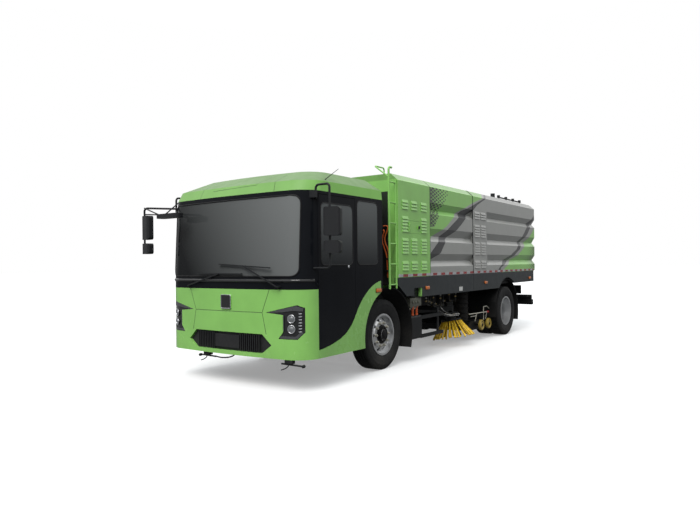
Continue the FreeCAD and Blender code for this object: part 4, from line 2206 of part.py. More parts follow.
def make_tail():
    """Rear under-run bar on two arms from the rails, with a tail lamp at each end."""
    rear = S.wheelbase + S.tail_reach
    bar = prism("UnderrunBar", "XY_Plane", S.underrun_bottom, S.underrun_top,
                rectangle(-S.underrun_half_width, S.underrun_half_width, S.underrun_front, rear))
    middle = (S.underrun_bottom + S.underrun_top) / 2
    holes = [Ring(S.plate_half_x * x, middle + S.plate_half_z * z, S.plate_hole) for x in (1, -1) for z in (1, -1)]
    pocket(bar, "XZ_Plane", S.underrun_front - S.overrun, rear + S.overrun, *holes)
    pieces = [bar]
    arm = S.underrun_arm
    root = S.rail_rear - arm * 2 - arm
    crest = S.rail_bottom + arm + arm / 2
    for sign in (1, -1):
        face = S.rail_half_gap + S.rail_width
        low, high = (face, face + arm / 2) if sign > 0 else (-face - arm / 2, -face)
        pieces.append(prism("UnderrunArm", "YZ_Plane", low, high,
                            [(root, S.rail_bottom), (S.underrun_front, S.underrun_bottom),
                             (S.underrun_front + arm / 2, S.underrun_bottom),
                             (S.underrun_front + arm / 2, S.underrun_top),
                             (S.rail_rear - arm / 2, crest),
                             (root, crest)]))
        x0, x1 = S.tail_lamp_inner, S.tail_lamp_outer
        low, high = (x0, x1) if sign > 0 else (-x1, -x0)
        pieces.append(box("TailLamp", low, high, rear - S.tail_lamp_depth, rear, S.underrun_top,
                          S.underrun_top + S.tail_lamp_height))
    node(fuse("Tail", *pieces), "underrun_bar")


make_frame()
make_front_axle()
make_knuckles()
make_rear_axle()
make_springs()
make_wheels()
make_cab()
make_roof()
make_wipers()
make_mirrors()
make_interior()
make_service_housing()
make_tank()
make_skirts()
make_hopper()
make_hopper_door()
make_cylinder()
make_mudguards()
make_side_guards()
make_ladder()
make_pipe_frame()
make_cables()
make_roof_rail()
make_brushes()
make_nozzle()
make_nozzle_wheels()
make_hoses()
make_tail()

doc.recompute()

failed = [item.Name for item in doc.Objects if "Invalid" in item.State or "Error" in item.State]
if failed:
    raise RuntimeError(f"objects that failed: {failed}")
for item in doc.Objects:
    if item.TypeId == "PartDesign::Pocket" and item.Shape.Volume >= item.BaseFeature.Shape.Volume:
        raise RuntimeError(f"a pocket that cuts nothing: {item.Name}")
for name, item in nodes.items():
    if item.Shape.isNull() or not item.Shape.isValid() or not item.Shape.Solids:
        raise RuntimeError(f"a sub-part with no valid shape: {name}")

os.makedirs("parts", exist_ok=True)
for name, item in nodes.items():
    item.Shape.exportStep(f"parts/{name}.step")
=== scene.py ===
# %% [markdown]
# # A street sweeper truck, dressed in Blender
# The solids of the truck come from CAD as a fixed frame, in metres: X to the truck's left, Y to its
# rear, Z up. This lesson gives them their paints, glass and rubber, and adds what is too fine for the
# solids: tyre tread, bristles, seams, lamps, hoses and trim.

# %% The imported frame
import math
import bpy
from mathutils import Euler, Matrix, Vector


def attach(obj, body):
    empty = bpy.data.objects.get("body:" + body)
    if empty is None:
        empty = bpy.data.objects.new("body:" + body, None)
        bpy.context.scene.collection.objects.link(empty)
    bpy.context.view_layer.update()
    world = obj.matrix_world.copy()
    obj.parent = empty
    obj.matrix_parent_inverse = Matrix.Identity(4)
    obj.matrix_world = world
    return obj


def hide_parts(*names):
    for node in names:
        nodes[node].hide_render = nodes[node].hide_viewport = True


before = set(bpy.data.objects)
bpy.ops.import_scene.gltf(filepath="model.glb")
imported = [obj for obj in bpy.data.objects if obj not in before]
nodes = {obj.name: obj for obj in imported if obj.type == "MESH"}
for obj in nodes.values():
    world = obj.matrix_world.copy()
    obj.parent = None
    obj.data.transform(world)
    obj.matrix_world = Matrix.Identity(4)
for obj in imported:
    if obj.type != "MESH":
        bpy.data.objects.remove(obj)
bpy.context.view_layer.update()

# %% [markdown]
# ## Places
# The truck was measured in millimetres with Y counted from the front axle, so every place in this
# lesson is given that way, and one small function turns it into the frame's metres.

# %% A place on the truck
FRONT_AXLE = -2.273
REAR_AXLE, AXLE_HEIGHT = 4850, 510
BODY_SIDE = 1250
SIDES = (("left", 1), ("right", -1))


def spot(x, y, z):
    return Vector((x / 1000, y / 1000 + FRONT_AXLE, z / 1000))


def y_at(y):
    return spot(0, y, 0).y


print("front axle at", spot(0, 0, AXLE_HEIGHT))

# %% [markdown]
# ## Camera
# The photograph was taken from the left front corner, a step above bonnet height. The camera turns
# about the upright first, then tilts, then rolls by under a degree, as a hand-held one does.

# %% Camera at the photograph's place
CAMERA_PLACE = (5607.0, -7289.7, 1549.3)
CAMERA_TURNS = ((0, 0, 35.144), (90.133, 0, 0), (0, 0, -0.673))
FOCAL_PIXELS, IMAGE_WIDTH, SENSOR = 586.72, 700, 36
bpy.ops.object.select_all(action="DESELECT")
bpy.ops.object.camera_add(location=spot(*CAMERA_PLACE))
camera = bpy.context.object
turn, tilt, roll = (Euler([math.radians(angle) for angle in angles]).to_matrix()
                    for angles in CAMERA_TURNS)
camera.rotation_euler = (turn @ tilt @ roll).to_euler()
camera.data.sensor_width = SENSOR
camera.data.lens = SENSOR * FOCAL_PIXELS / IMAGE_WIDTH
camera.data.shift_x = 0.00597
camera.data.shift_y = -0.00068
camera.data.clip_end = 400
bpy.context.scene.camera = camera
print("lens", round(camera.data.lens, 2))

# %% [markdown]
# ## Node helpers
# Sky, floor and every material below are made of procedural nodes. These helpers add a node, set its
# values and link it, so that each of them reads as a short recipe.

# %% Short ways to add nodes
def add(tree, kind, **values):
    made = tree.nodes.new("ShaderNode" + kind)
    for key, value in values.items():
        setattr(made, key, value)
    return made


def feed(tree, source, target):
    """Link a socket to a target, or write a plain value into it."""
    if hasattr(source, "links"):
        tree.links.new(source, target)
    else:
        target.default_value = source


def wired(made, tree, *sources):
    """Feed a node's inputs in order."""
    for place, source in enumerate(sources):
        feed(tree, source, made.inputs[place])
    return made


def figure(tree, operation, *sources, clamp=False):
    return wired(add(tree, "Math", operation=operation, use_clamp=clamp), tree, *sources).outputs[0]


def fold(tree, operation, *sources):
    """Several values taken together, such as their sum, product or greatest."""
    total = sources[0]
    for source in sources[1:]:
        total = figure(tree, operation, total, source)
    return total


def product(tree, *sources):
    return fold(tree, "MULTIPLY", *sources)


def arrow(tree, operation, *sources):
    made = wired(add(tree, "VectorMath", operation=operation), tree, *sources)
    return made.outputs["Value" if operation in ("DOT_PRODUCT", "LENGTH") else "Vector"]


def scaled(tree, vector, amount):
    made = wired(add(tree, "VectorMath", operation="SCALE"), tree, vector)
    feed(tree, amount, made.inputs["Scale"])
    return made.outputs[0]


def blend_colour(tree, mask, first, second):
    made = add(tree, "Mix", data_type="RGBA")
    for name, source in (("Factor", mask), (6, first), (7, second)):
        feed(tree, source, made.inputs[name])
    return made.outputs[2]


def spread(tree, source, low, high, to_low=0.0, to_high=1.0):
    return wired(add(tree, "MapRange"), tree, source, low, high, to_low, to_high).outputs["Result"]


def here(tree):
    return add(tree, "TexCoord").outputs["Object"]


def axes(tree, source=None):
    """X, Y and Z of a point or direction; by default, of the place on the piece."""
    return wired(add(tree, "SeparateXYZ"), tree, source or here(tree)).outputs


def texture(tree, kind, scale, **values):
    made = wired(add(tree, "Tex" + kind, **values), tree, here(tree))
    made.inputs["Scale"].default_value = scale
    return made


def speckle(tree, scale, detail):
    made = texture(tree, "Noise", scale)
    made.inputs["Detail"].default_value = detail
    return made.outputs["Fac"]


def rgb(red, green, blue):
    return (red, green, blue, 1.0)


print("node helpers ready")

# %% [markdown]
# ## Studio
# A pale floor, an overcast sky that is brightest overhead, and one large soft lamp from the front.
# The sky is white for the camera, dimmer near the horizon in reflections, and dimmer still as a
# light, so that paint renders about as it is written. The floor looks pale but throws back as little
# light as a road does, which is what darkens the undersides of the pressed panels.

# %% Sky
HORIZON_LIGHT, OVERHEAD_LIGHT = 0.20, 1.34
HORIZON_MIRRORED, OVERHEAD_MIRRORED = 0.34, 1.1
SKY_TINT = rgb(0.93, 0.97, 1.0)
bpy.context.scene.view_settings.view_transform = "Standard"
world = bpy.data.worlds.new("Studio sky")
bpy.context.scene.world = world
world.use_nodes = True
sky = world.node_tree
sky.nodes.clear()
rays = add(sky, "LightPath").outputs
upward = axes(sky, add(sky, "TexCoord").outputs["Generated"])["Z"]
strength = spread(sky, upward, 0, 1, HORIZON_LIGHT, OVERHEAD_LIGHT)
overcast = wired(add(sky, "Background"), sky, SKY_TINT, strength)
mirrored = spread(sky, upward, 0.02, 0.42, HORIZON_MIRRORED, OVERHEAD_MIRRORED)
seen = wired(add(sky, "Background"), sky, rgb(1, 1, 1),
             fold(sky, "MAXIMUM", rays["Is Camera Ray"], mirrored))
passing = fold(sky, "MAXIMUM", *[rays[f"Is {kind} Ray"] for kind in ("Camera", "Glossy", "Transmission")])
mixed = wired(add(sky, "MixShader"), sky, passing, overcast.outputs[0], seen.outputs[0])
wired(add(sky, "OutputWorld"), sky, mixed.outputs[0])
print("sky nodes:", len(sky.nodes))

# %% Lamp and floor
LAMP_WAY, LAMP_STRENGTH, LAMP_SPREAD = (-0.16, 0.70, -0.82), 2.15, 38
FLOOR_SIZE, FLOOR_AS_LIGHT, FLOOR_SEEN, FLOOR_GLOW, FLOOR_SHINE = 260, 0.10, 0.72, 0.30, 0.4
bpy.ops.object.light_add(type="SUN", location=(0, -8, 9))
lamp = bpy.context.object
lamp.rotation_euler = Vector(LAMP_WAY).to_track_quat("-Z", "Y").to_euler()
lamp.data.energy = LAMP_STRENGTH
lamp.data.angle = math.radians(LAMP_SPREAD)
lamp.data.color = (1.0, 0.98, 0.95)
bpy.ops.mesh.primitive_plane_add(size=1, location=(0, 0, 0))
floor = bpy.context.object
floor.name = "studio_floor"
floor.scale = (FLOOR_SIZE, FLOOR_SIZE, 1)
bpy.ops.object.transform_apply(location=True, rotation=True, scale=True)
floor_paint = bpy.data.materials.new("Studio floor")
floor_paint.use_nodes = True
tree = floor_paint.node_tree
tree.nodes.clear()
rays = add(tree, "LightPath").outputs
shade = spread(tree, rays["Is Camera Ray"], 0, 1, FLOOR_AS_LIGHT, FLOOR_SEEN)
matt = wired(add(tree, "BsdfDiffuse"), tree, shade)
shine = figure(tree, "MULTIPLY", rays["Is Glossy Ray"], FLOOR_SHINE)
shown = figure(tree, "MAXIMUM", rays["Is Camera Ray"], shine)
glow = add(tree, "Emission")
feed(tree, figure(tree, "MULTIPLY", shown, FLOOR_GLOW), glow.inputs["Strength"])
floor_sum = wired(add(tree, "AddShader"), tree, matt.outputs[0], glow.outputs[0])
wired(add(tree, "OutputMaterial"), tree, floor_sum.outputs[0])
floor.data.materials.append(floor_paint)
print("studio ready")

# %% [markdown]
# ## Shared effects
# A truck's paint, plastic and steel all gather the same road dust near the ground, its panels all
# meet in the same thin dark seams, and its plastics share one grain. Each effect is a node group
# with named inputs, built once and placed in each material with that material's own values.

# %% Road dust
DUST_COLOUR = rgb(0.25, 0.225, 0.19)


def group_tree(name, takes, gives):
    made = bpy.data.node_groups.new(name, "ShaderNodeTree")
    for title, kind, value in takes:
        socket = made.interface.new_socket(name=title, in_out="INPUT", socket_type="NodeSocket" + kind)
        if value is not None:
            socket.default_value = value
    for title, kind in gives:
        made.interface.new_socket(name=title, in_out="OUTPUT", socket_type="NodeSocket" + kind)
    return made, made.nodes.new("NodeGroupInput").outputs, made.nodes.new("NodeGroupOutput").inputs


dust_group, taken, given = group_tree(
    "Road dust",
    [("Colour", "Color", rgb(0.1, 0.1, 0.1)), ("Roughness", "Float", 0.4), ("Amount", "Float", 0.4),
     ("Top", "Float", 1.2)],
    [("Colour", "Color"), ("Roughness", "Float"), ("Mask", "Float")])
low_part = spread(dust_group, axes(dust_group)["Z"], taken["Top"], 0.1)
clouds = spread(dust_group, speckle(dust_group, 2.6, 6.0), 0.35, 0.72)
grit = spread(dust_group, speckle(dust_group, 60.0, 2.0), 0.42, 0.62, 0.4, 1.0)
cover = product(dust_group, low_part, clouds, grit)
mask = figure(dust_group, "MULTIPLY", cover, taken["Amount"], clamp=True)
feed(dust_group, blend_colour(dust_group, mask, taken["Colour"], DUST_COLOUR), given["Colour"])
feed(dust_group, figure(dust_group, "MULTIPLY_ADD", mask, 0.5, taken["Roughness"], clamp=True),
     given["Roughness"])
feed(dust_group, mask, given["Mask"])
print("dust group nodes:", len(dust_group.nodes))

# %% Seam between two panels
seam_group, taken, given = group_tree(
    "Panel seam",
    [("Start", "Vector", None), ("End", "Vector", None), ("Flatten", "Vector", None),
     ("Width", "Float", 0.004)],
    [("Mask", "Float")])
flat, start, end = (arrow(seam_group, "MULTIPLY", point, taken["Flatten"])
                    for point in (here(seam_group), taken["Start"], taken["End"]))
reach = arrow(seam_group, "SUBTRACT", end, start)
from_start = arrow(seam_group, "SUBTRACT", flat, start)
share = figure(seam_group, "DIVIDE", arrow(seam_group, "DOT_PRODUCT", from_start, reach),
               arrow(seam_group, "DOT_PRODUCT", reach, reach), clamp=True)
nearest = scaled(seam_group, reach, share)
distance = arrow(seam_group, "LENGTH", arrow(seam_group, "SUBTRACT", from_start, nearest))
edge = spread(seam_group, distance, taken["Width"], figure(seam_group, "MULTIPLY", taken["Width"], 0.4))
feed(seam_group, edge, given["Mask"])
print("seam group nodes:", len(seam_group.nodes))

# %% Grain of moulded plastic and rubber
grain_group, taken, given = group_tree(
    "Moulded grain", [("Scale", "Float", 400.0), ("Depth", "Float", 1.0)],
    [("Height", "Float"), ("Variation", "Float")])
pebbles = wired(add(grain_group, "TexVoronoi", feature="SMOOTH_F1"), grain_group, here(grain_group))
feed(grain_group, taken["Scale"], pebbles.inputs["Scale"])
feed(grain_group, product(grain_group, pebbles.outputs["Distance"], taken["Depth"]), given["Height"])
feed(grain_group, speckle(grain_group, 5.0, 4.0), given["Variation"])
print("node groups:", [g.name for g in bpy.data.node_groups])

# %% [markdown]
# ## Finishes
# A finish starts from one recipe: colour, roughness, metal or not, clear coat, some dust, and seams
# where panels meet. Colours that carry a pattern are given as a small function that builds nodes.

# %% The recipe
COAT_ROUGHNESS, SEAM_SHADE = 0.04, 0.86


def use(tree, group, **sources):
    """Place a node group in a material and feed its sockets by name."""
    made = add(tree, "Group", node_tree=group)
    for name, source in sources.items():
        feed(tree, source, made.inputs[name])
    return made.outputs


def finish(name, colour, roughness, metal=0.0, coat=0.0, dust=0.0, dust_top=1.2, seams=(),
           seam_width=0.005, grain=0.0, grain_scale=300.0, relief=None, relief_depth=0.002,
           specular=0.5, mottle=0.06):
    made = bpy.data.materials.new(name)
    made.use_nodes = True
    tree = made.node_tree
    shader = tree.nodes["Principled BSDF"]
    for socket, value in (("Metallic", metal), ("Coat Weight", coat), ("Coat Roughness", COAT_ROUGHNESS),
                          ("Specular IOR Level", specular)):
        shader.inputs[socket].default_value = value
    base = colour(tree) if callable(colour) else colour[:3]
    tone = spread(tree, speckle(tree, 3.0, 5.0), 0.3, 0.7, 1.0 - mottle, 1.0 + mottle)
    worn = spread(tree, speckle(tree, 9.0, 4.0), 0.3, 0.7, roughness * 0.88, roughness * 1.12)
    dusty = use(tree, dust_group, Colour=scaled(tree, base, tone), Roughness=worn, Amount=dust,
                Top=dust_top)
    outcome = dusty["Colour"]
    heights = []
    if seams:
        lines = [use(tree, seam_group, Start=start, End=end, Flatten=(1, 0, 1), Width=seam_width)["Mask"]
                 for start, end in seams]
        dark = fold(tree, "MAXIMUM", *lines)
        outcome = blend_colour(tree, figure(tree, "MULTIPLY", dark, SEAM_SHADE), outcome,
                               rgb(0.012, 0.014, 0.012))
        heights.append(figure(tree, "MULTIPLY", dark, -1.0))
    if relief:
        heights.append(relief(tree))
    if grain:
        heights.append(use(tree, grain_group, Scale=grain_scale, Depth=grain)["Height"])
    feed(tree, outcome, shader.inputs["Base Color"])
    feed(tree, dusty["Roughness"], shader.inputs["Roughness"])
    if heights:
        bump = add(tree, "Bump")
        bump.inputs["Distance"].default_value = relief_depth
        feed(tree, fold(tree, "ADD", *heights), bump.inputs["Height"])
        feed(tree, bump.outputs[0], shader.inputs["Normal"])
    return made


def dress(material, *names):
    """Give CAD nodes their finish."""
    for name in names:
        nodes[name].data.materials.clear()
        nodes[name].data.materials.append(material)


GREEN = rgb(0.270, 0.600, 0.135)
GREY = rgb(0.335, 0.340, 0.322)
BAND = rgb(0.016, 0.018, 0.021)
print("recipe ready")

# %% [markdown]
# ## Body colours
# The body side runs from green at the front through a dark sweeping band to grey, and back to green
# at the lower rear. The border of each field is a curve of Y over height, so the pattern wraps the
# pressed grooves as cut film does. A field of fading diamonds softens the first border.

# %% Borders and diamonds
CURVE_LOW, CURVE_HIGH = 1300, 2900
ROOF_EDGE, ROOF_SHADE = (2.786, 2.80), 0.66


def border(tree, z, curve):
    """Y of a border at height z, through measured points of (Y, Z) in millimetres."""
    made = add(tree, "FloatCurve")
    ys = [y for y, z_mm in curve]
    y_low, y_high = min(ys), max(ys)
    line = made.mapping.curves[0]
    points = sorted(((z_mm - CURVE_LOW) / (CURVE_HIGH - CURVE_LOW), (y - y_low) / (y_high - y_low))
                    for y, z_mm in curve)
    while len(line.points) < len(points):
        line.points.new(0.5, 0.5)
    for place, point in enumerate(points):
        line.points[place].location = point
        line.points[place].handle_type = "VECTOR"
    made.mapping.update()
    feed(tree, spread(tree, z, CURVE_LOW / 1000, CURVE_HIGH / 1000), made.inputs["Value"])
    return figure(tree, "MULTIPLY_ADD", made.outputs[0], y_at(y_high) - y_at(y_low), y_at(y_low))


def diamonds(tree, y, z, pitch, size):
    """Diamonds of a size between 0 and 0.5 of their pitch."""
    sides = []
    for way in ("ADD", "SUBTRACT"):
        cell = figure(tree, "FRACT", figure(tree, "DIVIDE", figure(tree, way, y, z), pitch))
        sides.append(figure(tree, "ABSOLUTE", figure(tree, "SUBTRACT", cell, 0.5)))
    return figure(tree, "LESS_THAN", figure(tree, "MAXIMUM", *sides), size)


def roof_painted_shade(tree, colour, z):
    """A colour darkened on the roof, above the sides' upper edge, as painted shade."""
    return scaled(tree, colour, spread(tree, z, *ROOF_EDGE, 1.0, ROOF_SHADE))


print("border heights", CURVE_LOW, "to", CURVE_HIGH)

# %% Livery of the tall body
LIVERY = (
    (GREY, ((1180, 1300), (1240, 1860), (1307, 1919), (1532, 2010), (1900, 2160),
            (2267, 2371), (2569, 2493), (3005, 2641), (3470, 2763), (3760, 2900))),
    (BAND, ((900, 1300), (1200, 1620), (1316, 1712), (1640, 1925), (1975, 2123),
            (2372, 2321), (2569, 2470), (3003, 2590), (3469, 2739), (3900, 2900))),
    (GREY, ((1000, 1300), (1312, 1567), (1666, 1704), (1895, 1930), (2152, 2031),
            (2506, 2214), (2700, 2336), (3031, 2501), (3247, 2624), (3664, 2772), (4000, 2900))),
    (BAND, ((4200, 1300), (4376, 1424), (4753, 1580), (5438, 1818), (5656, 1991),
            (5923, 2171), (6294, 2436), (6700, 2640), (6900, 2900))),
    (GREY, ((4380, 1300), (4464, 1423), (4985, 1566), (5649, 1821), (5874, 2025),
            (6193, 2181), (6480, 2400), (6850, 2640), (7000, 2900))),
    (None, ((4500, 1300), (4671, 1402), (4983, 1512), (5560, 1706), (5911, 1853),
            (6187, 2033), (6472, 2190), (6667, 2318), (6900, 2500), (7000, 2900))),
)
DIAMOND_STRETCH, DIAMOND_LEAN = 0.45, -0.92
PATCH_LOW, PATCH_TOP, TAIL_TOP = 2.13, 2.775, 1.90


def livery(tree):
    """Green with diamonds, then what lies behind each border, and green again at the tail."""
    place = axes(tree)
    y, z = place["Y"], place["Z"]
    wide = figure(tree, "MULTIPLY", y, DIAMOND_STRETCH)
    fade = spread(tree, y, y_at(1290), y_at(2080), 0.47, 0.16)
    leaning = figure(tree, "ADD", y, figure(tree, "MULTIPLY", z, DIAMOND_LEAN))
    patch = product(tree, diamonds(tree, wide, z, 0.060, fade),
                    figure(tree, "LESS_THAN", leaning, y_at(2010) - 2.53),
                    figure(tree, "GREATER_THAN", z, PATCH_LOW), figure(tree, "LESS_THAN", z, PATCH_TOP),
                    figure(tree, "GREATER_THAN", y, y_at(1287)))
    tail_fade = spread(tree, y, y_at(6050), y_at(6600), 0.05, 0.40)
    tail = product(tree, diamonds(tree, wide, z, 0.064, tail_fade),
                   figure(tree, "LESS_THAN", z, TAIL_TOP))
    tail_green = blend_colour(tree, tail, GREEN, rgb(0.05, 0.09, 0.03))
    colour = blend_colour(tree, patch, GREEN, rgb(0.020, 0.022, 0.020))
    for field, curve in LIVERY:
        behind = figure(tree, "GREATER_THAN", y, border(tree, z, curve))
        colour = blend_colour(tree, behind, colour, field or tail_green)
    # The roof above the sides' upper edge is darkened as painted shade.
    return roof_painted_shade(tree, colour, z)


BAY_FRONT, BAY_HALF, BAY_TOP = 254, 1.11, 2.62


def housing_green_with_painted_shade(tree):
    """Green, with the open bay in the housing's front face painted dark as shade for its unlit inside."""
    place = axes(tree)
    # The bay's dark colour is painted shade, standing in for the recess and the dark parts behind the
    # front face.
    bay = product(tree, figure(tree, "LESS_THAN", place["Y"], y_at(BAY_FRONT)),
                  figure(tree, "LESS_THAN", figure(tree, "ABSOLUTE", place["X"]), BAY_HALF),
                  figure(tree, "LESS_THAN", place["Z"], BAY_TOP))
    # On the roof the green is darkened as painted shade.
    return roof_painted_shade(tree, blend_colour(tree, bay, GREEN, rgb(0.012, 0.013, 0.012)), place["Z"])


body_paint = finish("Body livery paint", livery, 0.34, coat=0.35, dust=0.35, dust_top=1.9, mottle=0.03)
housing_paint = finish("Housing green paint", housing_green_with_painted_shade, 0.34, coat=0.35, dust=0.30, dust_top=1.9)
dress(housing_paint, "service_housing", "access_door")
dress(body_paint, "water_tank", "hopper", "hopper_door")
print("body painted")

# %% [markdown]
# ## Cab paints
# The nose is four pressed panels: its seams run down beside the middle plate and fold inwards at the
# crease. They are drawn on the paint as thin dark lines with a dip, from measured end points.

# %% Nose, arch bands and roof
def seam_lines(*lines):
    """Seams from lines of (X, Z) points, seen from the front."""
    return [(spot(start[0], 0, start[1]), spot(end[0], 0, end[1]))
            for line in lines for start, end in zip(line, line[1:])]


def roof_green_with_painted_shade(tree):
    """Green darkened as painted shade where the roof faces straight up."""
    facing = axes(tree, add(tree, "NewGeometry").outputs["Normal"])["Z"]
    return blend_colour(tree, spread(tree, facing, 0.05, 0.80), GREEN, rgb(0.150, 0.270, 0.098))


nose_seams = seam_lines(((720, 1240), (605, 955), (665, 692)), ((-720, 1240), (-605, 955), (-665, 692)),
                        ((-605, 955), (605, 955)))
roof_seams = seam_lines(((768, 2400), (688, 2695)), ((-567, 2400), (-560, 2720)),
                        ((-342, 2528), (426, 2550), (500, 2660)))
nose_paint = finish("Nose green paint", GREEN, 0.24, coat=0.6, dust=0.18, dust_top=0.9,
                    seams=nose_seams, seam_width=0.0055)
# The roof's green is darkened on its upward faces as painted shade.
roof_paint = finish("Roof green paint", roof_green_with_painted_shade, 0.42, specular=0.2, seams=roof_seams,
                    seam_width=0.004)
band_paint = finish("Arch green paint", GREEN, 0.26, coat=0.6, dust=0.3, dust_top=1.1)
steel_green = finish("Ladder green paint", GREEN, 0.4, coat=0.2, dust=0.2, dust_top=2.0)
dress(nose_paint, "cab_nose")
dress(roof_paint, "roof_cap")
dress(band_paint, "arch_bands")
dress(steel_green, "ladder")
print("seams:", len(nose_seams), "on the nose,", len(roof_seams), "on the roof")

# %% [markdown]
# ## Black cab sides and glass
# The cab's sides are gloss black, so that glass and panel read as one dark band. The glass is dark
# and tinted, and a painted reflection lightens the windscreen from its lower right to its upper left,
# and the side windows from the bottom up.

# %% Gloss black, tinted glass and its painted reflection
def tone(low, high, start, end):
    """A dark glass tint that lightens into a painted reflection from one place on the truck to another."""
    def build(tree):
        reach = end - start
        share = arrow(tree, "DOT_PRODUCT", arrow(tree, "SUBTRACT", here(tree), tuple(start)),
                      tuple(reach / reach.length_squared))
        return blend_colour(tree, spread(tree, share, 0.0, 1.0), low, high)
    return build


black_gloss = finish("Gloss black panel", rgb(0.0075, 0.0085, 0.011), 0.08, dust=0.12,
                     dust_top=1.0, specular=0.09, mottle=0.1)
# The windscreen's dark tint lightens to a painted reflection towards its upper left.
windscreen_painted_reflection = tone(rgb(0.007, 0.008, 0.009), rgb(0.215, 0.226, 0.226),
                   spot(-700, -2004, 1350), spot(1250, -2004, 2500))
# The side windows' dark tint lightens to a painted reflection towards the top.
side_window_painted_reflection = tone(rgb(0.018, 0.020, 0.022), rgb(0.155, 0.165, 0.166),
                 spot(1250, -900, 1480), spot(1250, -900, 2420))
windscreen_glass_painted_reflection = finish("Tinted windscreen with painted reflection", windscreen_painted_reflection, 0.05, specular=0.12, mottle=0.0)
side_glass_painted_reflection = finish("Tinted side glass with painted reflection", side_window_painted_reflection, 0.05, specular=0.12, mottle=0.0)
dress(black_gloss, "cab_shell", "cab_door_left", "cab_door_right")
dress(windscreen_glass_painted_reflection, "windscreen")
dress(side_glass_painted_reflection, "door_glass_left", "door_glass_right", "quarter_windows")
print("cab painted")

# %% [markdown]
# ## Chassis, rubber and plastic
# Below the skirts everything is matt black, which only reads as steel, rubber or plastic through its
# sheen and dust. Castings are rough, pressed steel is satin, and moulded parts carry a fine grain.

# %% Dark finishes
chassis_paint = finish("Chassis black paint", rgb(0.007, 0.008, 0.0095), 0.46, dust=0.09,
                       dust_top=1.1, specular=0.2)
cast_paint = finish("Cast axle paint", rgb(0.018, 0.018, 0.020), 0.58, dust=0.35, dust_top=1.0,
                    specular=0.2, grain=0.6, grain_scale=160.0, relief_depth=0.001)
skirt_paint = finish("Skirt grey paint", rgb(0.028, 0.033, 0.036), 0.42, dust=0.12, dust_top=1.5,
                     specular=0.2)
moulded = finish("Moulded black plastic", rgb(0.016, 0.017, 0.019), 0.5, dust=0.15,
                 dust_top=1.0, specular=0.25, grain=0.5, grain_scale=420.0, relief_depth=0.0006)
guard_plastic = finish("Mudguard plastic", rgb(0.010, 0.0105, 0.011), 0.6, dust=0.12,
                       dust_top=1.1, specular=0.12, grain=0.7, grain_scale=260.0, relief_depth=0.001)
hose_rubber = finish("Suction hose rubber", rgb(0.012, 0.012, 0.012), 0.6, dust=0.2,
                     dust_top=1.2, specular=0.2, grain=0.4, grain_scale=200.0, relief_depth=0.001)
motor_metal = finish("Cast motor housing", rgb(0.38, 0.39, 0.40), 0.5, metal=0.7, dust=0.8, dust_top=1.0,
                     grain=0.5, grain_scale=240.0, relief_depth=0.0008)
ground_steel = finish("Ground rod steel", rgb(0.62, 0.63, 0.65), 0.16, metal=1.0)
dress(chassis_paint, "frame_rails", "leaf_springs", "side_guards", "pipe_frame", "brush_arm_left",
      "brush_arm_right", "suction_nozzle", "underrun_bar", "tip_cylinder")
dress(cast_paint, "front_axle", "rear_axle", "knuckle_left", "knuckle_right")
dress(skirt_paint, "front_skirts", "hopper_skirts")
dress(moulded, "front_grille", "headlamps", "wipers", "mirror_left", "mirror_right", "dashboard",
      "roof_rail", "seats")
dress(guard_plastic, "front_mudguards", "rear_mudguards")
dress(hose_rubber, "suction_hoses")
dress(motor_metal, "drive_motor")
dress(ground_steel, "tip_rod")
print("chassis painted")

# %% Wheels and running colours
RUBBER_BLACK = rgb(0.014, 0.0145, 0.0155)
wheel_silver = finish("Wheel silver paint", rgb(0.60, 0.61, 0.62), 0.28, metal=0.8, dust=0.32,
                      dust_top=1.1)
tyre_rubber = finish("Tyre rubber", RUBBER_BLACK, 0.72, dust=0.16, dust_top=1.1, grain=0.35,
                     grain_scale=180.0, relief_depth=0.0012, specular=0.18)
caster_yellow = finish("Cast yellow wheel", rgb(0.40, 0.28, 0.03), 0.42, dust=0.6, dust_top=0.6)
bristle_yellow = finish("Yellow bristle", rgb(0.86, 0.57, 0.02), 0.45, dust=0.22,
                        dust_top=0.35, mottle=0.22)
cable_orange = finish("Orange cable sheath", rgb(0.60, 0.115, 0.015), 0.45)
dress(wheel_silver, "front_rim_left", "front_rim_right", "rear_rims_left", "rear_rims_right")
dress(tyre_rubber, "front_tyre_left", "front_tyre_right", "rear_tyres_left", "rear_tyres_right")
dress(caster_yellow, *[f"nozzle_wheel_{a}_{b}" for a in ("front", "rear") for b in ("left", "right")])
dress(bristle_yellow, "brush_left", "brush_right")
dress(cable_orange, "power_cables")
bare = [name for name, piece in nodes.items() if not piece.data.materials[0].use_nodes]
print("nodes without a finish:", bare)

# %% [markdown]
# ## Modelling helpers
# Each new piece starts as a primitive of the right size in the right place, is shaped in edit mode
# or with modifiers, and is then settled: its place goes into its mesh, it gets its finish, and it
# rides on the CAD body that carries it.

# %% Select, shape and settle
def nothing_picked():
    if bpy.context.object and bpy.context.object.mode != "OBJECT":
        bpy.ops.object.mode_set(mode="OBJECT")
    bpy.ops.object.select_all(action="DESELECT")


def pick(*pieces):
    nothing_picked()
    for piece in pieces:
        piece.select_set(True)
    bpy.context.view_layer.objects.active = pieces[-1]


def join(pieces):
    if len(pieces) > 1:
        pick(*pieces)
        bpy.ops.object.join()
    return pieces[-1]


def apply_place(piece):
    pick(piece)
    bpy.ops.object.transform_apply(location=True, rotation=True, scale=True)


def faces_out(piece):
    pick(piece)
    bpy.ops.object.mode_set(mode="EDIT")
    bpy.ops.mesh.select_all(action="SELECT")
    bpy.ops.mesh.remove_doubles(threshold=0.00001)
    bpy.ops.mesh.normals_make_consistent(inside=False)
    bpy.ops.object.mode_set(mode="OBJECT")


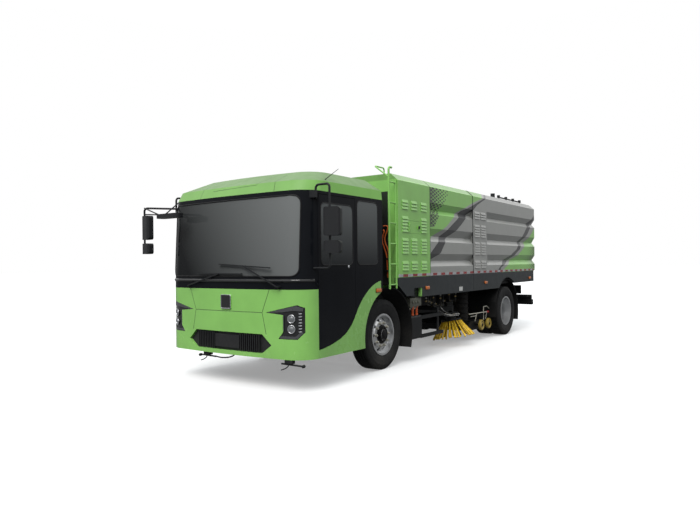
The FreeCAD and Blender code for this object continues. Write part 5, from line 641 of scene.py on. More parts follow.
def modify(piece, kind, **values):
    pick(piece)
    bpy.ops.object.modifier_add(type=kind)
    made = piece.modifiers[-1]
    for key, value in values.items():
        setattr(made, key, value)
    bpy.ops.object.modifier_apply(modifier=made.name)


def both_sides(piece):
    apply_place(piece)
    modify(piece, "MIRROR", use_clip=False, use_mirror_merge=False)


def settle(piece, name, material, body="chassis", angle=30, pair=False):
    """Finish a piece or a list of them, joined; a pair stands on both sides of the truck."""
    if isinstance(piece, list):
        piece = join(piece)
    if pair:
        both_sides(piece)
    apply_place(piece)
    bpy.ops.object.shade_smooth_by_angle(angle=math.radians(angle))
    piece.name = name
    piece.data.materials.clear()
    piece.data.materials.append(material)
    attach(piece, body)
    return piece


print("settling helpers ready")

# %% Blocks, drums and tubes
SHARP_RIM = math.radians(50)


def placed(point):
    """A Vector is a place already, and three plain numbers are a spot in millimetres."""
    return point if isinstance(point, Vector) else spot(*point)


def block(low, high, edge=0.004, segments=2):
    """A block between two corners with softened edges."""
    low, high = placed(low), placed(high)
    nothing_picked()
    bpy.ops.mesh.primitive_cube_add(size=1, location=(low + high) / 2, scale=high - low)
    piece = bpy.context.object
    apply_place(piece)
    if edge:
        modify(piece, "BEVEL", width=edge, segments=segments, limit_method="ANGLE")
    return piece


def cone(start, end, radius, top_radius, sides, **more):
    """A plain cone or cylinder from one end to the other."""
    way = end - start
    nothing_picked()
    bpy.ops.mesh.primitive_cone_add(vertices=sides, radius1=radius, radius2=top_radius, depth=way.length,
                                    location=(start + end) / 2,
                                    rotation=way.to_track_quat("Z", "Y").to_euler(), **more)
    return bpy.context.object


def drum(start, end, radius, edge=0.003, sides=32, top_radius=None):
    """A turned piece from one end to the other, with softened rims."""
    piece = cone(placed(start), placed(end), radius, radius if top_radius is None else top_radius, sides)
    apply_place(piece)
    if edge:
        modify(piece, "BEVEL", width=edge, segments=2, limit_method="ANGLE", angle_limit=SHARP_RIM)
    return piece


def cone_band(start, end, radius, top_radius, wall=0.003):
    """An open conical band, thin all round."""
    piece = cone(start, end, radius, top_radius, 48, end_fill_type="NOTHING")
    apply_place(piece)
    modify(piece, "SOLIDIFY", thickness=wall, offset=0)
    faces_out(piece)
    return piece


def tube(points, radius, bend=0.03, closed=False, sides=4):
    """A bent bar or pipe: straight runs with a round bend at each inner point."""
    points = [placed(point) for point in points]
    nothing_picked()
    bpy.ops.curve.primitive_bezier_curve_add()
    piece = bpy.context.object
    piece.data.splines.clear()
    run = []
    count = len(points)
    for place, corner in enumerate(points):
        if not closed and place in (0, count - 1):
            run.append((corner, corner, corner))
            continue
        back = points[place - 1] - corner
        ahead = points[(place + 1) % count] - corner
        cut_back = min(bend, back.length * 0.45)
        cut_ahead = min(bend, ahead.length * 0.45)
        first = corner + back.normalized() * cut_back
        second = corner + ahead.normalized() * cut_ahead
        run.append((first, first, corner.lerp(first, 0.45)))
        run.append((second, corner.lerp(second, 0.45), second))
    line = piece.data.splines.new("BEZIER")
    line.bezier_points.add(len(run) - 1)
    for knot, (place, before, after) in zip(line.bezier_points, run):
        knot.handle_left_type = knot.handle_right_type = "FREE"
        knot.co, knot.handle_left, knot.handle_right = place, before, after
    line.use_cyclic_u = closed
    line.resolution_u = 5
    piece.data.dimensions = "3D"
    piece.data.bevel_depth = radius
    piece.data.bevel_resolution = sides
    piece.data.use_fill_caps = not closed
    piece.location = (0, 0, 0)
    pick(piece)
    bpy.ops.object.convert(target="MESH")
    piece = bpy.context.object
    faces_out(piece)
    return piece


def ring(centre, axis, radius, thickness, sides=48, section=10):
    """A round bead, such as a bezel or a wire ring."""
    nothing_picked()
    bpy.ops.mesh.primitive_torus_add(location=centre, major_radius=radius, minor_radius=thickness,
                                     major_segments=sides, minor_segments=section,
                                     rotation=Vector(axis).to_track_quat("Z", "Y").to_euler())
    piece = bpy.context.object
    apply_place(piece)
    return piece


print("shape helpers ready")

# %% [markdown]
# ## Tyres
# A truck tyre is a turned shape: bead, bulging sidewall with a wear rib, shoulder, and a crown cut by
# four grooves. Its half section is drawn as a line of points and spun round the axle, which gives
# grooves with real depth. The cross sipes on the shoulders are too fine for that, so they are a bump.

# %% Tyre section and sipes
GROOVES = (-0.066, -0.023, 0.023, 0.066)
SIPES = 56


def tyre_section():
    side = [(0.097, 0.3035), (0.108, 0.306), (0.114, 0.316), (0.124, 0.338), (0.1335, 0.372),
            (0.1372, 0.405), (0.1375, 0.430), (0.1388, 0.434), (0.1380, 0.440), (0.1355, 0.446),
            (0.1300, 0.472), (0.1225, 0.490), (0.1205, 0.4935), (0.1165, 0.4985), (0.1120, 0.5035)]
    groove = ((-0.0058, 0.5098), (-0.0040, 0.4965), (0.0040, 0.4965), (0.0058, 0.5098))
    crown = [(middle + across, r) for middle in GROOVES for across, r in groove]
    inner = [(0.085, 0.301), (0.088, 0.330), (0.115, 0.390), (0.112, 0.455), (0.090, 0.482)]
    left, left_inner = ([(-x, r) for x, r in points] for points in (side, inner[::-1]))
    return left + [(-0.1085, 0.5080)] + crown + [(0.1085, 0.5080)] + side[::-1] + inner + left_inner


def sipes(wheel_y):
    """Cross cuts on the shoulders, as a height over the turn round the axle."""
    def build(tree):
        place = axes(tree)
        back = figure(tree, "SUBTRACT", place["Y"], wheel_y)
        up = figure(tree, "SUBTRACT", place["Z"], AXLE_HEIGHT / 1000)
        turned = figure(tree, "MULTIPLY", figure(tree, "ARCTAN2", up, back), SIPES / (2 * math.pi))
        cell = figure(tree, "FRACT", figure(tree, "ADD", turned, 100.0))
        cut = spread(tree, figure(tree, "ABSOLUTE", figure(tree, "SUBTRACT", cell, 0.5)), 0.055, 0.085)
        far = figure(tree, "SQRT", figure(tree, "ADD", product(tree, back, back), product(tree, up, up)))
        dip = product(tree, figure(tree, "SUBTRACT", 1.0, cut), spread(tree, far, 0.472, 0.478))
        return figure(tree, "MULTIPLY", dip, -3.0)
    return build


front_rubber, rear_rubber = [
    finish(f"{end} tyre rubber", RUBBER_BLACK, 0.72, dust=0.16, dust_top=1.1,
           relief=sipes(y_at(axle)), relief_depth=0.003, specular=0.18)
    for end, axle in (("Front", 0), ("Rear", REAR_AXLE))]
print("section points:", len(tyre_section()))

# %% Spin the tyres
def spin_tyre(centre):
    nothing_picked()
    bpy.ops.mesh.primitive_plane_add(size=0.1, location=(0, 0, 0))
    piece = bpy.context.object
    piece.data.clear_geometry()
    section = [(centre.x + x, centre.y, centre.z + r) for x, r in tyre_section()]
    loop = [(i, (i + 1) % len(section)) for i in range(len(section))]
    piece.data.from_pydata(section, loop, [])
    pick(piece)
    bpy.ops.object.mode_set(mode="EDIT")
    bpy.ops.mesh.select_all(action="SELECT")
    bpy.ops.mesh.spin(steps=90, angle=2 * math.pi, center=centre, axis=(1, 0, 0))
    bpy.ops.object.mode_set(mode="OBJECT")
    faces_out(piece)
    return piece


FRONT_WHEEL_X, REAR_WHEEL_X, TWIN_GAP = 1010, 930, 0.1575
for side, sign in SIDES:
    tyre = spin_tyre(spot(FRONT_WHEEL_X * sign, 0, AXLE_HEIGHT))
    front = settle(tyre, f"tread_front_{side}", front_rubber, f"front_wheel_{side}", 40)
    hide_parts(f"front_tyre_{side}")
    place = spot(REAR_WHEEL_X * sign, REAR_AXLE, AXLE_HEIGHT)
    twins = [spin_tyre(place + Vector((gap, 0, 0))) for gap in (TWIN_GAP, -TWIN_GAP)]
    rear = settle(twins, f"tread_rear_{side}", rear_rubber, f"rear_wheels_{side}", 40)
    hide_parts(f"rear_tyres_{side}")
print("tyre", len(rear.data.polygons), "faces a pair")

# %% [markdown]
# ## Wheel nuts and hub
# Ten flanged nuts hold each wheel. One nut is modelled: a six-sided drum on a round flange with a
# short stud end, and it is copied round the stud circle. A dark hub cover with its own small bolts
# closes the middle, and conical bands darken the deep bore around it, where the sky hardly reaches.

# %% Nuts and hub covers
NUTS, STUD_CIRCLE, NUT_FACE = 10, 0.1675, 0.092
COVER_BOLTS, COVER_CIRCLE = 6, 0.062
zinc = finish("Zinc nut", rgb(0.52, 0.50, 0.42), 0.35, metal=0.8, dust=0.3, dust_top=1.0)
dark_cover_and_bore_shade = finish("Dark hub cover and painted bore shade", rgb(0.006, 0.006, 0.007), 0.4, dust=0.1,
                    dust_top=1.0, specular=0.15)


def wheel_circle(count, radius):
    """Steps from a wheel's centre to places evenly round its axle."""
    turns = [2 * math.pi * place / count for place in range(count)]
    return [Vector((0, math.cos(turned), math.sin(turned))) * radius for turned in turns]


def nut(place, out):
    return [drum(place, place + out * 0.006, 0.0215, 0.0012, 20),
            drum(place + out * 0.006, place + out * 0.024, 0.0185, 0.0015, 6),
            drum(place + out * 0.024, place + out * 0.034, 0.0105, 0.0012, 12)]


for side, sign in SIDES:
    out = Vector((sign, 0, 0))
    centre, wheel = spot(FRONT_WHEEL_X * sign, 0, AXLE_HEIGHT), f"front_wheel_{side}"
    # Dark conical bands in the rim and round the hub are painted shade in the deep bore.
    bore = [cone_band(centre + out * 0.024, centre + out * 0.066, 0.252, 0.190),
            cone_band(centre + out * 0.0915, centre + out * 0.0945, 0.138, 0.096, 0.004),
            cone_band(centre + out * 0.092, centre + out * 0.131, 0.097, 0.097)]
    settle(bore, f"hub_bore_painted_shade_{side}", dark_cover_and_bore_shade, wheel)
    nuts = [join(nut(centre + around + out * NUT_FACE, out)) for around in wheel_circle(NUTS, STUD_CIRCLE)]
    settle(nuts, f"wheel_nuts_{wheel}", zinc, wheel)
    cover = [drum(centre + out * 0.130, centre + out * 0.1385, 0.073, 0.003, 40),
             drum(centre + out * 0.1385, centre + out * 0.146, 0.050, 0.004, 40)]
    cover += [drum(centre + around + out * 0.1385, centre + around + out * 0.144, 0.006, 0.001, 6)
              for around in wheel_circle(COVER_BOLTS, COVER_CIRCLE)]
    settle(cover, f"hub_cover_{side}", dark_cover_and_bore_shade, wheel)
print("hubs dressed")

# %% [markdown]
# ## Side brushes
# A sweeper's side brush is a disc with rows of flat wire or plastic bristles in tufts, which flare
# outwards and splay at their tips. One tuft is a fan of thin tapered blades with uneven lengths, and
# it is copied round the disc in two rings.

# %% Bristle tufts
TUFT_ROWS = ((15, 0.125, 0.300), (23, 0.168, 0.388))
STRANDS, STRAND_RADIUS = 5, 0.0052
BRUSH_X, BRUSH_Y, DISC_HEIGHT, DISC_LEAN, DISC_BOLTS = 870, 2850, 455, -10, 8


def uneven(number):
    """A repeatable share between 0 and 1, so that tufts differ."""
    return math.modf(abs(math.sin(number * 12.9898) * 43758.5453))[0]


def brush(side, sign):
    leaning = Euler((0, math.radians(DISC_LEAN * sign), 0)).to_matrix()
    centre = spot(BRUSH_X * sign, BRUSH_Y, DISC_HEIGHT)

    def on_disc(turned, radius, height):
        return centre + leaning @ Vector((math.cos(turned) * radius, math.sin(turned) * radius, height))

    blades = []
    for row, (count, root_r, tip_r) in enumerate(TUFT_ROWS):
        for place in range(count):
            seed = place * 11 + row * 101 + (0 if sign > 0 else 500)
            swing = 2 * math.pi * place / count + (uneven(seed) - 0.5) * 0.09
            reach = tip_r + (uneven(seed + 5) - 0.5) * 0.03
            low = -0.318 + uneven(seed + 3) * 0.026
            lean = swing + (uneven(seed + 8) - 0.5) * 0.07
            root = on_disc(swing, root_r, -0.004)
            blades.append(drum(root, on_disc(lean, reach, low), 0.0085, 0, 7, 0.0135))
            for strand in range(STRANDS):
                frayed = on_disc(lean + (strand - 2) * 0.018, reach + 0.008,
                                 low - 0.006 + uneven(seed + strand) * 0.02)
                blades.append(cone(root, frayed, STRAND_RADIUS, STRAND_RADIUS * 0.9, 4))
    bristles = settle(blades, f"bristles_{side}", bristle_yellow, f"brush_{side}")
    up = leaning @ Vector((0, 0, 1))
    plate = [drum(centre - up * 0.004, centre + up * 0.024, 0.190, 0.004, 48),
             drum(centre + up * 0.024, centre + up * 0.0275, 0.120, 0.002, 40)]
    for place in range(DISC_BOLTS):
        bolt = on_disc(2 * math.pi * place / DISC_BOLTS, 0.155, 0)
        plate.append(drum(bolt + up * 0.024, bolt + up * 0.032, 0.010, 0.0015, 6))
    settle(plate, f"brush_plate_{side}", chassis_paint, f"brush_{side}")
    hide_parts(f"brush_{side}")


for side, sign in SIDES:
    brush(side, sign)

# %% [markdown]
# ## Trim finishes
# Small trim needs finishes of its own: rubber for the window seals, bright metal and dark glass for
# the lamps, moulded amber and red lenses, brass and braided steel for the pipes under the body.

# %% Rubber, lamp and pipe finishes
def ribbed(axis, pitch):
    """Fine ribs across a lens or along a hose, as a bump."""
    def build(tree):
        cell = figure(tree, "FRACT", figure(tree, "MULTIPLY_ADD", axes(tree)[axis], 1 / pitch, 1000.0))
        return figure(tree, "ABSOLUTE", figure(tree, "SUBTRACT", cell, 0.5))
    return build


seal_rubber = finish("Window seal rubber", rgb(0.009, 0.009, 0.010), 0.5, specular=0.25,
                     dust=0.1)
lip_black = finish("Gloss black lip", rgb(0.012, 0.013, 0.014), 0.14, specular=0.5, coat=0.4)
lamp_silver = finish("Lamp silver", rgb(0.50, 0.51, 0.53), 0.24, metal=0.85)
brow_silver = finish("Lamp brow silver", rgb(0.085, 0.088, 0.095), 0.3, metal=0.4, coat=0.6)
lamp_black = finish("Lamp housing black", rgb(0.012, 0.013, 0.014), 0.12, specular=0.5,
                    coat=0.5)
lens_glass = finish("Lamp lens glass", rgb(0.16, 0.17, 0.18), 0.06, specular=0.7, coat=0.8,
                    relief=ribbed("X", 0.014), relief_depth=0.001)
strip_white = finish("Lamp strip white", rgb(0.40, 0.41, 0.43), 0.25, coat=0.4)
amber_lens = finish("Amber lamp lens", rgb(0.62, 0.15, 0.010), 0.2, coat=0.6, dust=0.2,
                    dust_top=1.3, relief=ribbed("Y", 0.012), relief_depth=0.001)
red_lens = finish("Red lamp lens", rgb(0.50, 0.012, 0.010), 0.18, coat=0.6,
                  relief=ribbed("X", 0.012), relief_depth=0.001)
plain_white = finish("Plain white plate", rgb(0.62, 0.62, 0.60), 0.35, dust=0.3,
                     dust_top=1.3)
brass = finish("Brass fitting", rgb(0.24, 0.18, 0.07), 0.42, metal=0.7, dust=0.5)
dull_steel = finish("Dull steel union", rgb(0.20, 0.20, 0.19), 0.42, metal=0.6, dust=0.5)
valve_paint = finish("Valve block paint", rgb(0.105, 0.110, 0.085), 0.5, dust=0.6,
                     dust_top=1.3)
capped_red = finish("Orange hose sleeve", rgb(0.52, 0.085, 0.018), 0.45, dust=0.4,
                    dust_top=1.2)
braided = finish("Braided steel hose", rgb(0.60, 0.60, 0.59), 0.36, metal=0.6,
                 dust=0.35, relief=ribbed("Z", 0.005), relief_depth=0.0006)
handle_cream = finish("Handle tube paint", rgb(0.55, 0.53, 0.45), 0.38, dust=0.4,
                      dust_top=0.9)
grip_red = finish("Red grip", rgb(0.50, 0.015, 0.02), 0.5)
mirror_silver = finish("Mirror glass", rgb(0.75, 0.77, 0.78), 0.04, metal=1.0)
dress(lamp_black, "headlamps")
print("trim finishes ready")

# %% [markdown]
# ## The cab's front as a surface
# Lamps, seals and trim on the cab's front follow its bowed plan: a shallow arc across the face and a
# tighter one round each corner, and above the belt it leans back a little. One function gives the
# surface point for any X and height, so that trim can be laid on it or just proud of it.

# %% A point on the cab's front
FACE_RADIUS, FACE_CENTRE = 10277.7, 8273.7
CORNER_X, CORNER_Y, CORNER_BEND = 951.5, -1660.0, 300.0
BELT, RAKE = 1365, 60 / 1075


def nose_point(x, z, out=0.0):
    side = abs(x)
    if side <= CORNER_X:
        middle, bend = Vector((0, FACE_CENTRE)), FACE_RADIUS
    else:
        middle, bend = Vector((CORNER_X, CORNER_Y)), CORNER_BEND
    across = min(side - middle.x, bend * 0.995)
    flat = Vector((across, -math.sqrt(bend ** 2 - across ** 2)))
    place = middle + flat * (1 + out / bend)
    return spot(math.copysign(place.x, x), place.y + max(z - BELT, 0) * RAKE, z)


def way_out(x, z):
    return (nose_point(x, z, 10) - nose_point(x, z, 0)).normalized()


def rounded_run(low_a, high_a, low_b, high_b, corner, step=130):
    """Points round a rectangle with round corners, with more along its long sides."""
    centres = ((high_a - corner, high_b - corner, 0), (low_a + corner, high_b - corner, 90),
               (low_a + corner, low_b + corner, 180), (high_a - corner, low_b + corner, 270))

    def on_corner(place, turn):
        a, b, start = centres[place % 4]
        angle = math.radians(start + turn)
        return Vector((a + math.cos(angle) * corner, b + math.sin(angle) * corner))

    run = []
    for place in range(4):
        run += [on_corner(place, turn) for turn in (0, 30, 60, 90)]
        last, goal = run[-1], on_corner(place + 1, 0)
        parts = max(1, round((goal - last).length / step))
        run += [last.lerp(goal, part / parts) for part in range(1, parts)]
    return run


def along(line, share):
    """The point a share of the way along a line of (X, Z) points."""
    place = min(share, 0.9999) * (len(line) - 1)
    first = int(place)
    return Vector(line[first]).lerp(Vector(line[first + 1]), place - first)


def skin(lower, upper, out, wall=0.006, columns=16, rows=3):
    """A curved strip laid on the cab's front between two lines of (X, Z) points."""
    nothing_picked()
    bpy.ops.mesh.primitive_grid_add(x_subdivisions=columns, y_subdivisions=rows, size=1)
    piece = bpy.context.object
    for corner in piece.data.vertices:
        low, high = along(lower, corner.co.x + 0.5), along(upper, corner.co.x + 0.5)
        place = low.lerp(high, corner.co.y + 0.5)
        corner.co = nose_point(place.x, place.y, out)
    modify(piece, "SOLIDIFY", thickness=wall, offset=0)
    modify(piece, "BEVEL", width=0.0012, segments=1, limit_method="ANGLE")
    faces_out(piece)
    return piece


print("middle plate at", [round(v, 3) for v in nose_point(0, 1078)])

# %% [markdown]
# ## Window seals and lip
# The windscreen and side windows are glued in, and what shows is a bead of black rubber round each.
# Below the windscreen a rounded gloss lip runs across the cab and catches the sky as a pale line. The
# bead is a closed tube that follows the bowed face.

# %% Seals round the glass
SCREEN_EDGE = (-1130, 1130, 1400, 2380, 90)
WINDOW_EDGES = (("door", "door", (-1625, -938, 1530, 2300, 70, 300)),
                ("quarter", "chassis", (-835, -322, 1530, 2385, 70, 300)))
LOCK_HEIGHT, LOCK_Y = 1507, -1043
screen = tube([nose_point(x, z, 1) for x, z in rounded_run(*SCREEN_EDGE)], 0.009, 0.03, True, 3)
settle(screen, "windscreen_seal", seal_rubber, angle=60)
for side, sign in SIDES:
    x = BODY_SIDE * sign
    for name, body, corners in WINDOW_EDGES:
        seal = tube([spot(x, y, z) for y, z in rounded_run(*corners)], 0.0065, 0.03, True, 3)
        rides = f"door_{side}" if body == "door" else body
        settle(seal, f"{name}_window_seal_{side}", seal_rubber, rides, 60)
    lock = [drum((x + near * sign, LOCK_Y, LOCK_HEIGHT), (x + far * sign, LOCK_Y, LOCK_HEIGHT), *shape)
            for near, far, shape in ((0, 9, (0.021, 0.002, 28)), (9, 12, (0.012, 0.001, 24)))]
    settle(lock, f"door_lock_{side}", lamp_silver, f"door_{side}")
lip = tube([nose_point(x, 1348, -2) for x in range(-1240, 1241, 80)], 0.021, 0.05, False, 5)
settle(lip, "windscreen_lip", lip_black, angle=60)
print("seals and lip laid on")

# %% [markdown]
# ## Headlamps and middle plate
# Each lamp is a dark bay with a silver brow along its upper edge, two ringed lenses one above the
# other, a column of short light strips at its outer edge and a silver sill below. Between them
# sits a bare dark plate in a bright frame.

# %% Lamp trim
def lamp_lens(x, z):
    out = way_out(x, z)
    middle = nose_point(x, z, -3)
    return [drum(middle, middle + out * 0.004, 0.044, 0.0015, 40),
            drum(middle + out * 0.004, middle + out * 0.010, 0.030, 0.004, 32, 0.016)]


def lamp_rings(x, z):
    return [ring(nose_point(x, z, out), way_out(x, z), *shape)
            for out, shape in ((1, (0.047, 0.0045, 44, 8)), (2, (0.031, 0.002, 36, 6)))]


LENS_PLACES = ((1040, 893), (1040, 770))
brow = skin([(712, 957), (905, 969), (1055, 990), (1160, 982)],
            [(690, 961), (900, 1007), (1092, 1047), (1166, 1019)], -2)
sill = skin([(866, 651), (1104, 651), (1170, 722)], [(880, 681), (1092, 681), (1146, 740)], -3)
inner_edge = skin([(924, 734), (924, 930)], [(934, 738), (934, 926)], -4, columns=8)
settle([brow, sill, inner_edge], "headlamp_brows", brow_silver, pair=True)
rings = [piece for x, z in LENS_PLACES for piece in lamp_rings(x, z)]
settle(rings, "headlamp_rings", lamp_silver, angle=40, pair=True)
lenses = [piece for x, z in LENS_PLACES for piece in lamp_lens(x, z)]
settle(lenses, "headlamp_lenses", lens_glass, pair=True)
dashes = [skin([(1122, z), (1152, z + 2)], [(1122, z + 12), (1152, z + 14)], -6, 0.008, 4, 2)
          for z in range(732, 970, 36)]
settle(dashes, "headlamp_strips", strip_white, pair=True)
print("light strips a side:", len(dashes))

# %% Middle plate
plate = skin([(-80, 997), (80, 997)], [(-80, 1158), (80, 1158)], 12.5, 0.004, 6, 6)
settle(plate, "badge_place", lamp_black)
edge_run = [nose_point(x, z, 13) for x, z in rounded_run(-86, 86, 991, 1164, 12, 60)]
settle(tube(edge_run, 0.006, 0.02, True, 3), "badge_frame", lamp_silver, angle=50)
print("lamps and middle plate dressed")

# %% [markdown]
# ## Reflective strip, marker lamps and joints
# A strip of red and white reflective film runs along the foot of the body, cut at every panel joint,
# where its pattern starts afresh. Amber marker lamps sit on the skirt: each is a ribbed lens on a
# dark base. A round lock closes the access door, and rubber lines the joints before and behind the
# tank.

# %% Reflective film
RED_SHARE, FILM_PITCH = 0.49, 0.3


def film_colour(tree):
    """Red and white lengths that start afresh behind each joint of the body."""
    y = axes(tree)["Y"]
    shifts = [figure(tree, "MULTIPLY", figure(tree, "GREATER_THAN", y, y_at(joint)), shift)
              for joint, shift in ((1285, 0.082), (3035, 0.042))]
    run = figure(tree, "SUBTRACT", figure(tree, "SUBTRACT", y, y_at(91) - 30.0),
                 fold(tree, "ADD", *shifts))
    share = figure(tree, "FRACT", figure(tree, "DIVIDE", run, FILM_PITCH))
    return blend_colour(tree, figure(tree, "LESS_THAN", share, RED_SHARE), rgb(0.42, 0.42, 0.44),
                        rgb(0.27, 0.010, 0.014))


def film_cells(tree):
    return texture(tree, "Voronoi", 240.0).outputs["Distance"]


film = finish("Reflective film", film_colour, 0.24, coat=0.3, dust=0.3, dust_top=1.8,
              relief=film_cells, relief_depth=0.0006)
LENGTHS = (("housing", "chassis", 254, 1281), ("tank", "chassis", 1289, 3026),
           ("hopper", "hopper", 3044, 6597))
for name, body, start, end in LENGTHS:
    strips = [block((x - 2, start, 1336), (x + 2, end, 1377), 0.0006, 1)
              for x in (BODY_SIDE, -BODY_SIDE)]
    settle(strips, f"reflective_{name}", film, body)
print("film lengths:", len(LENGTHS))

# %% Marker lamps
MARKERS = (("front", "chassis", 1158, 1144), ("middle", "hopper", 3622, 1148),
           ("rear", "hopper", 6290, 1168), ("arch", "chassis", -320, 1167))
for name, body, y, z in MARKERS:
    base = block((BODY_SIDE - 3, y - 68, z - 31), (BODY_SIDE + 6, y + 68, z + 31), 0.004)
    lens = block((BODY_SIDE + 2, y - 62, z - 26), (BODY_SIDE + 21, y + 62, z + 26), 0.007, 3)
    settle(base, f"marker_base_{name}", moulded, body, pair=True)
    settle(lens, f"marker_lens_{name}", amber_lens, body, pair=True)
white_plate = block((1249, 2393, 1037), (1252, 2535, 1108), 0.0008, 1)
settle(white_plate, "skirt_plate", plain_white)
print("marker lamps:", 2 * len(MARKERS))

# %% Lock of the access door
corners = [corner.co for corner in nodes["access_door"].data.vertices]
lock_x = max(corner.x for corner in corners)
lock_y = max(corner.y for corner in corners) - 0.045
lock_z = (max(corner.z for corner in corners) + min(corner.z for corner in corners)) / 2
lock = [drum(Vector((lock_x + near, lock_y, lock_z)), Vector((lock_x + far, lock_y, lock_z)), *shape)
        for near, far, shape in ((-0.004, 0.007, (0.024, 0.003, 28)),
                                 (0.006, 0.009, (0.010, 0.001, 20)))]
settle(lock, "access_lock", moulded, "access_door")
print("lock at", [round(v, 3) for v in (lock_x, lock_y, lock_z)])

# %% Joint between tank and hopper
def body_outline(y, out):
    """Points round the body's section from one foot over the roof to the other."""
    half, corner, top = BODY_SIDE + out, 1130 + out / 2, 2885 + out
    right = [(half, 1340), (half, 2780), (corner, top)]
    return [spot(x, y, z) for x, z in right] + [spot(-x, y, z) for x, z in reversed(right)]


for name, y, out, radius, bend in (("rear", 3025, -2, 0.009, 0.015), ("front", 1285, -3, 0.005, 0.012)):
    settle(tube(body_outline(y, out), radius, bend, False, 3), f"tank_{name}_seal", seal_rubber, angle=60)
print("film, markers and seals laid on")

# %% [markdown]
# ## Front spray bars
# Under the bumper hang two spray brackets that wet the road before the brushes: a black block, a
# cross bar with a nozzle at its end and a thin bent pipe. They are drums, blocks and bent tubes.

# %% Spray brackets
SPRAY_Y = -1915


def spray_set(x, sign, reach_in, reach_out):
    y = SPRAY_Y
    block_part = block((x - 62, y - 32, 352), (x + 62, y + 26, 402), 0.006)
    bar = drum((x - reach_in, y - 4, 342), (x + reach_out, y - 4, 336), 0.011, 0.002, 20)
    collar = drum((x - 18, y - 4, 338), (x - 18, y - 4, 356), 0.020, 0.003, 20)
    end = x + reach_out * sign
    nozzle = drum((end, y - 24, 336), (end, y + 14, 338), 0.019, 0.004, 20)
    pipe = tube([(x - 10, y - 12, 334), (x - 30, y - 16, 306), (x - 70, y - 20, 284),
                 (x - 122, y - 22, 268)], 0.0065, 0.03)
    return [block_part, bar, collar, nozzle, pipe]


spray = spray_set(985, 1, 130, 215) + spray_set(-450, -1, 130, 150)
spray.append(tube([(-300, -1916, 338), (-200, -1914, 326), (-60, -1912, 340), (40, -1910, 376),
                   (60, -1905, 430)], 0.009, 0.09))
settle(spray, "spray_bars", moulded, angle=34)
print("spray bars hung")

# %% [markdown]
# ## Under the body
# Between the front mudguard and the rear wheels hang the valve block, two sleeved hoses, pipes and
# fittings. They are dark and half hidden, but their pale unions and brass ends catch the light, so
# each pipe gets its own bends and ends.

# %% Valve block and notch
valve = [block((1030, 720, 862), (1185, 1080, 996), 0.006),
         block((1045, 745, 838), (1170, 1010, 862), 0.004)]
valve += [drum((1185, y, 930), (1203, y, 930), 0.024, 0.003, 24) for y in (790, 880, 970)]
valve += [block((1090, y, 990), (1110, y + 30, 1218), 0.002) for y in (745, 1020)]
settle(valve, "valve_block", valve_paint, pair=True)
unions = [drum((x, y, 812), (x, y, 842), 0.015, 0.002, 6) for x in (1075, 1140) for y in (770, 850, 930)]
settle(unions, "valve_unions", zinc, pair=True)
sleeves = []
for y in (838, 968):
    sleeves += [drum((1155, y, 715), (1155, y, 862), 0.0165, 0.003, 24),
                drum((1155, y, 835), (1155, y, 864), 0.022, 0.003, 24),
                drum((1155, y, 717), (1155, y, 738), 0.022, 0.003, 24)]
settle(sleeves, "sleeved_hoses", capped_red, pair=True)
notch = [block((1060, 738, 1012), (1186, 968, 1218), 0.006)]
notch += [drum((1186, y, z), (1196, y, z), 0.010, 0.002, 20) for y in (790, 840) for z in (1070, 1110)]
settle(notch, "notch_box", chassis_paint, pair=True)
notch_edge = block((1186, 974, 1014), (1246, 992, 1156), 0.003)
settle(notch_edge, "notch_edge", steel_green, pair=True)
print("valve unions a side:", len(unions))

# %% Pipes and fittings under the tank
PIPE_RUNS = (
    ((1120, 1360, 1050), (1120, 1360, 880), (1090, 1500, 830), (1060, 1720, 830), (1060, 1720, 1050)),
    ((1140, 1560, 1050), (1140, 1575, 930), (1100, 1640, 800), (1050, 1830, 800), (1000, 2100, 820)),
    ((1100, 1900, 1050), (1110, 1905, 900), (1080, 1985, 812), (1020, 2160, 800), (960, 2300, 830)),
    ((1130, 2210, 1050), (1130, 2215, 950), (1100, 2290, 870), (1060, 2480, 850), (1000, 2700, 860)),
    ((1090, 2560, 1050), (1085, 2570, 900), (1040, 2660, 820), (960, 2820, 830)),
)
pipes, pale, gold = [], [], []
for place, points in enumerate(PIPE_RUNS):
    pipes.append(tube(points, 0.014 + 0.003 * (place % 3), 0.09))
    x, y, z = points[1]
    pale.append(drum((x, y, z + 70), (x, y, z + 96), 0.022, 0.002, 6))
    gold.append(drum((x, y, z + 20), (x, y, z + 42), 0.020, 0.002, 6))
for y, z in ((1420, 905), (1500, 880), (1660, 850), (1990, 880)):
    gold.append(drum((1146, y, z), (1160, y, z), 0.011, 0.002, 20))
    pale.append(drum((1120, y, z), (1146, y, z), 0.018, 0.002, 6))
    pipes.append(drum((1125, y, z), (1125, y, 1046), 0.012, 0.002, 16))
settle(pipes, "under_pipes", hose_rubber, angle=60, pair=True)
settle(pale, "under_unions", dull_steel, pair=True)
settle(gold, "under_brass", brass, pair=True)
print("pipes:", len(PIPE_RUNS))

# %% Brush hoses, nozzle handle and rear rods
def brush_hose(sign):
    centre = spot(BRUSH_X * sign, BRUSH_Y, 0)
    runs = []
    for place, (reach, lift) in enumerate(((0.150, 0.556), (0.172, 0.584))):
        points = []
        for step in range(9):
            angle = math.radians(-160 + step * 35 + place * 18)
            wave = 0.014 * math.sin(step * 2.1 + place)
            points.append(centre + Vector((math.cos(angle) * (reach + wave),
                                           math.sin(angle) * (reach + wave), lift + wave)))
        runs.append(tube(points, 0.0085, 0.06))
    runs.append(tube([(790 * sign, 2560, 726), (860 * sign, 2600, 640), (1010 * sign, 2560, 596),
                      (1090 * sign, 2440, 590), (1020 * sign, 2330, 612), (880 * sign, 2360, 660),
                      (700 * sign, 2330, 726)], 0.0085, 0.08))
    return runs


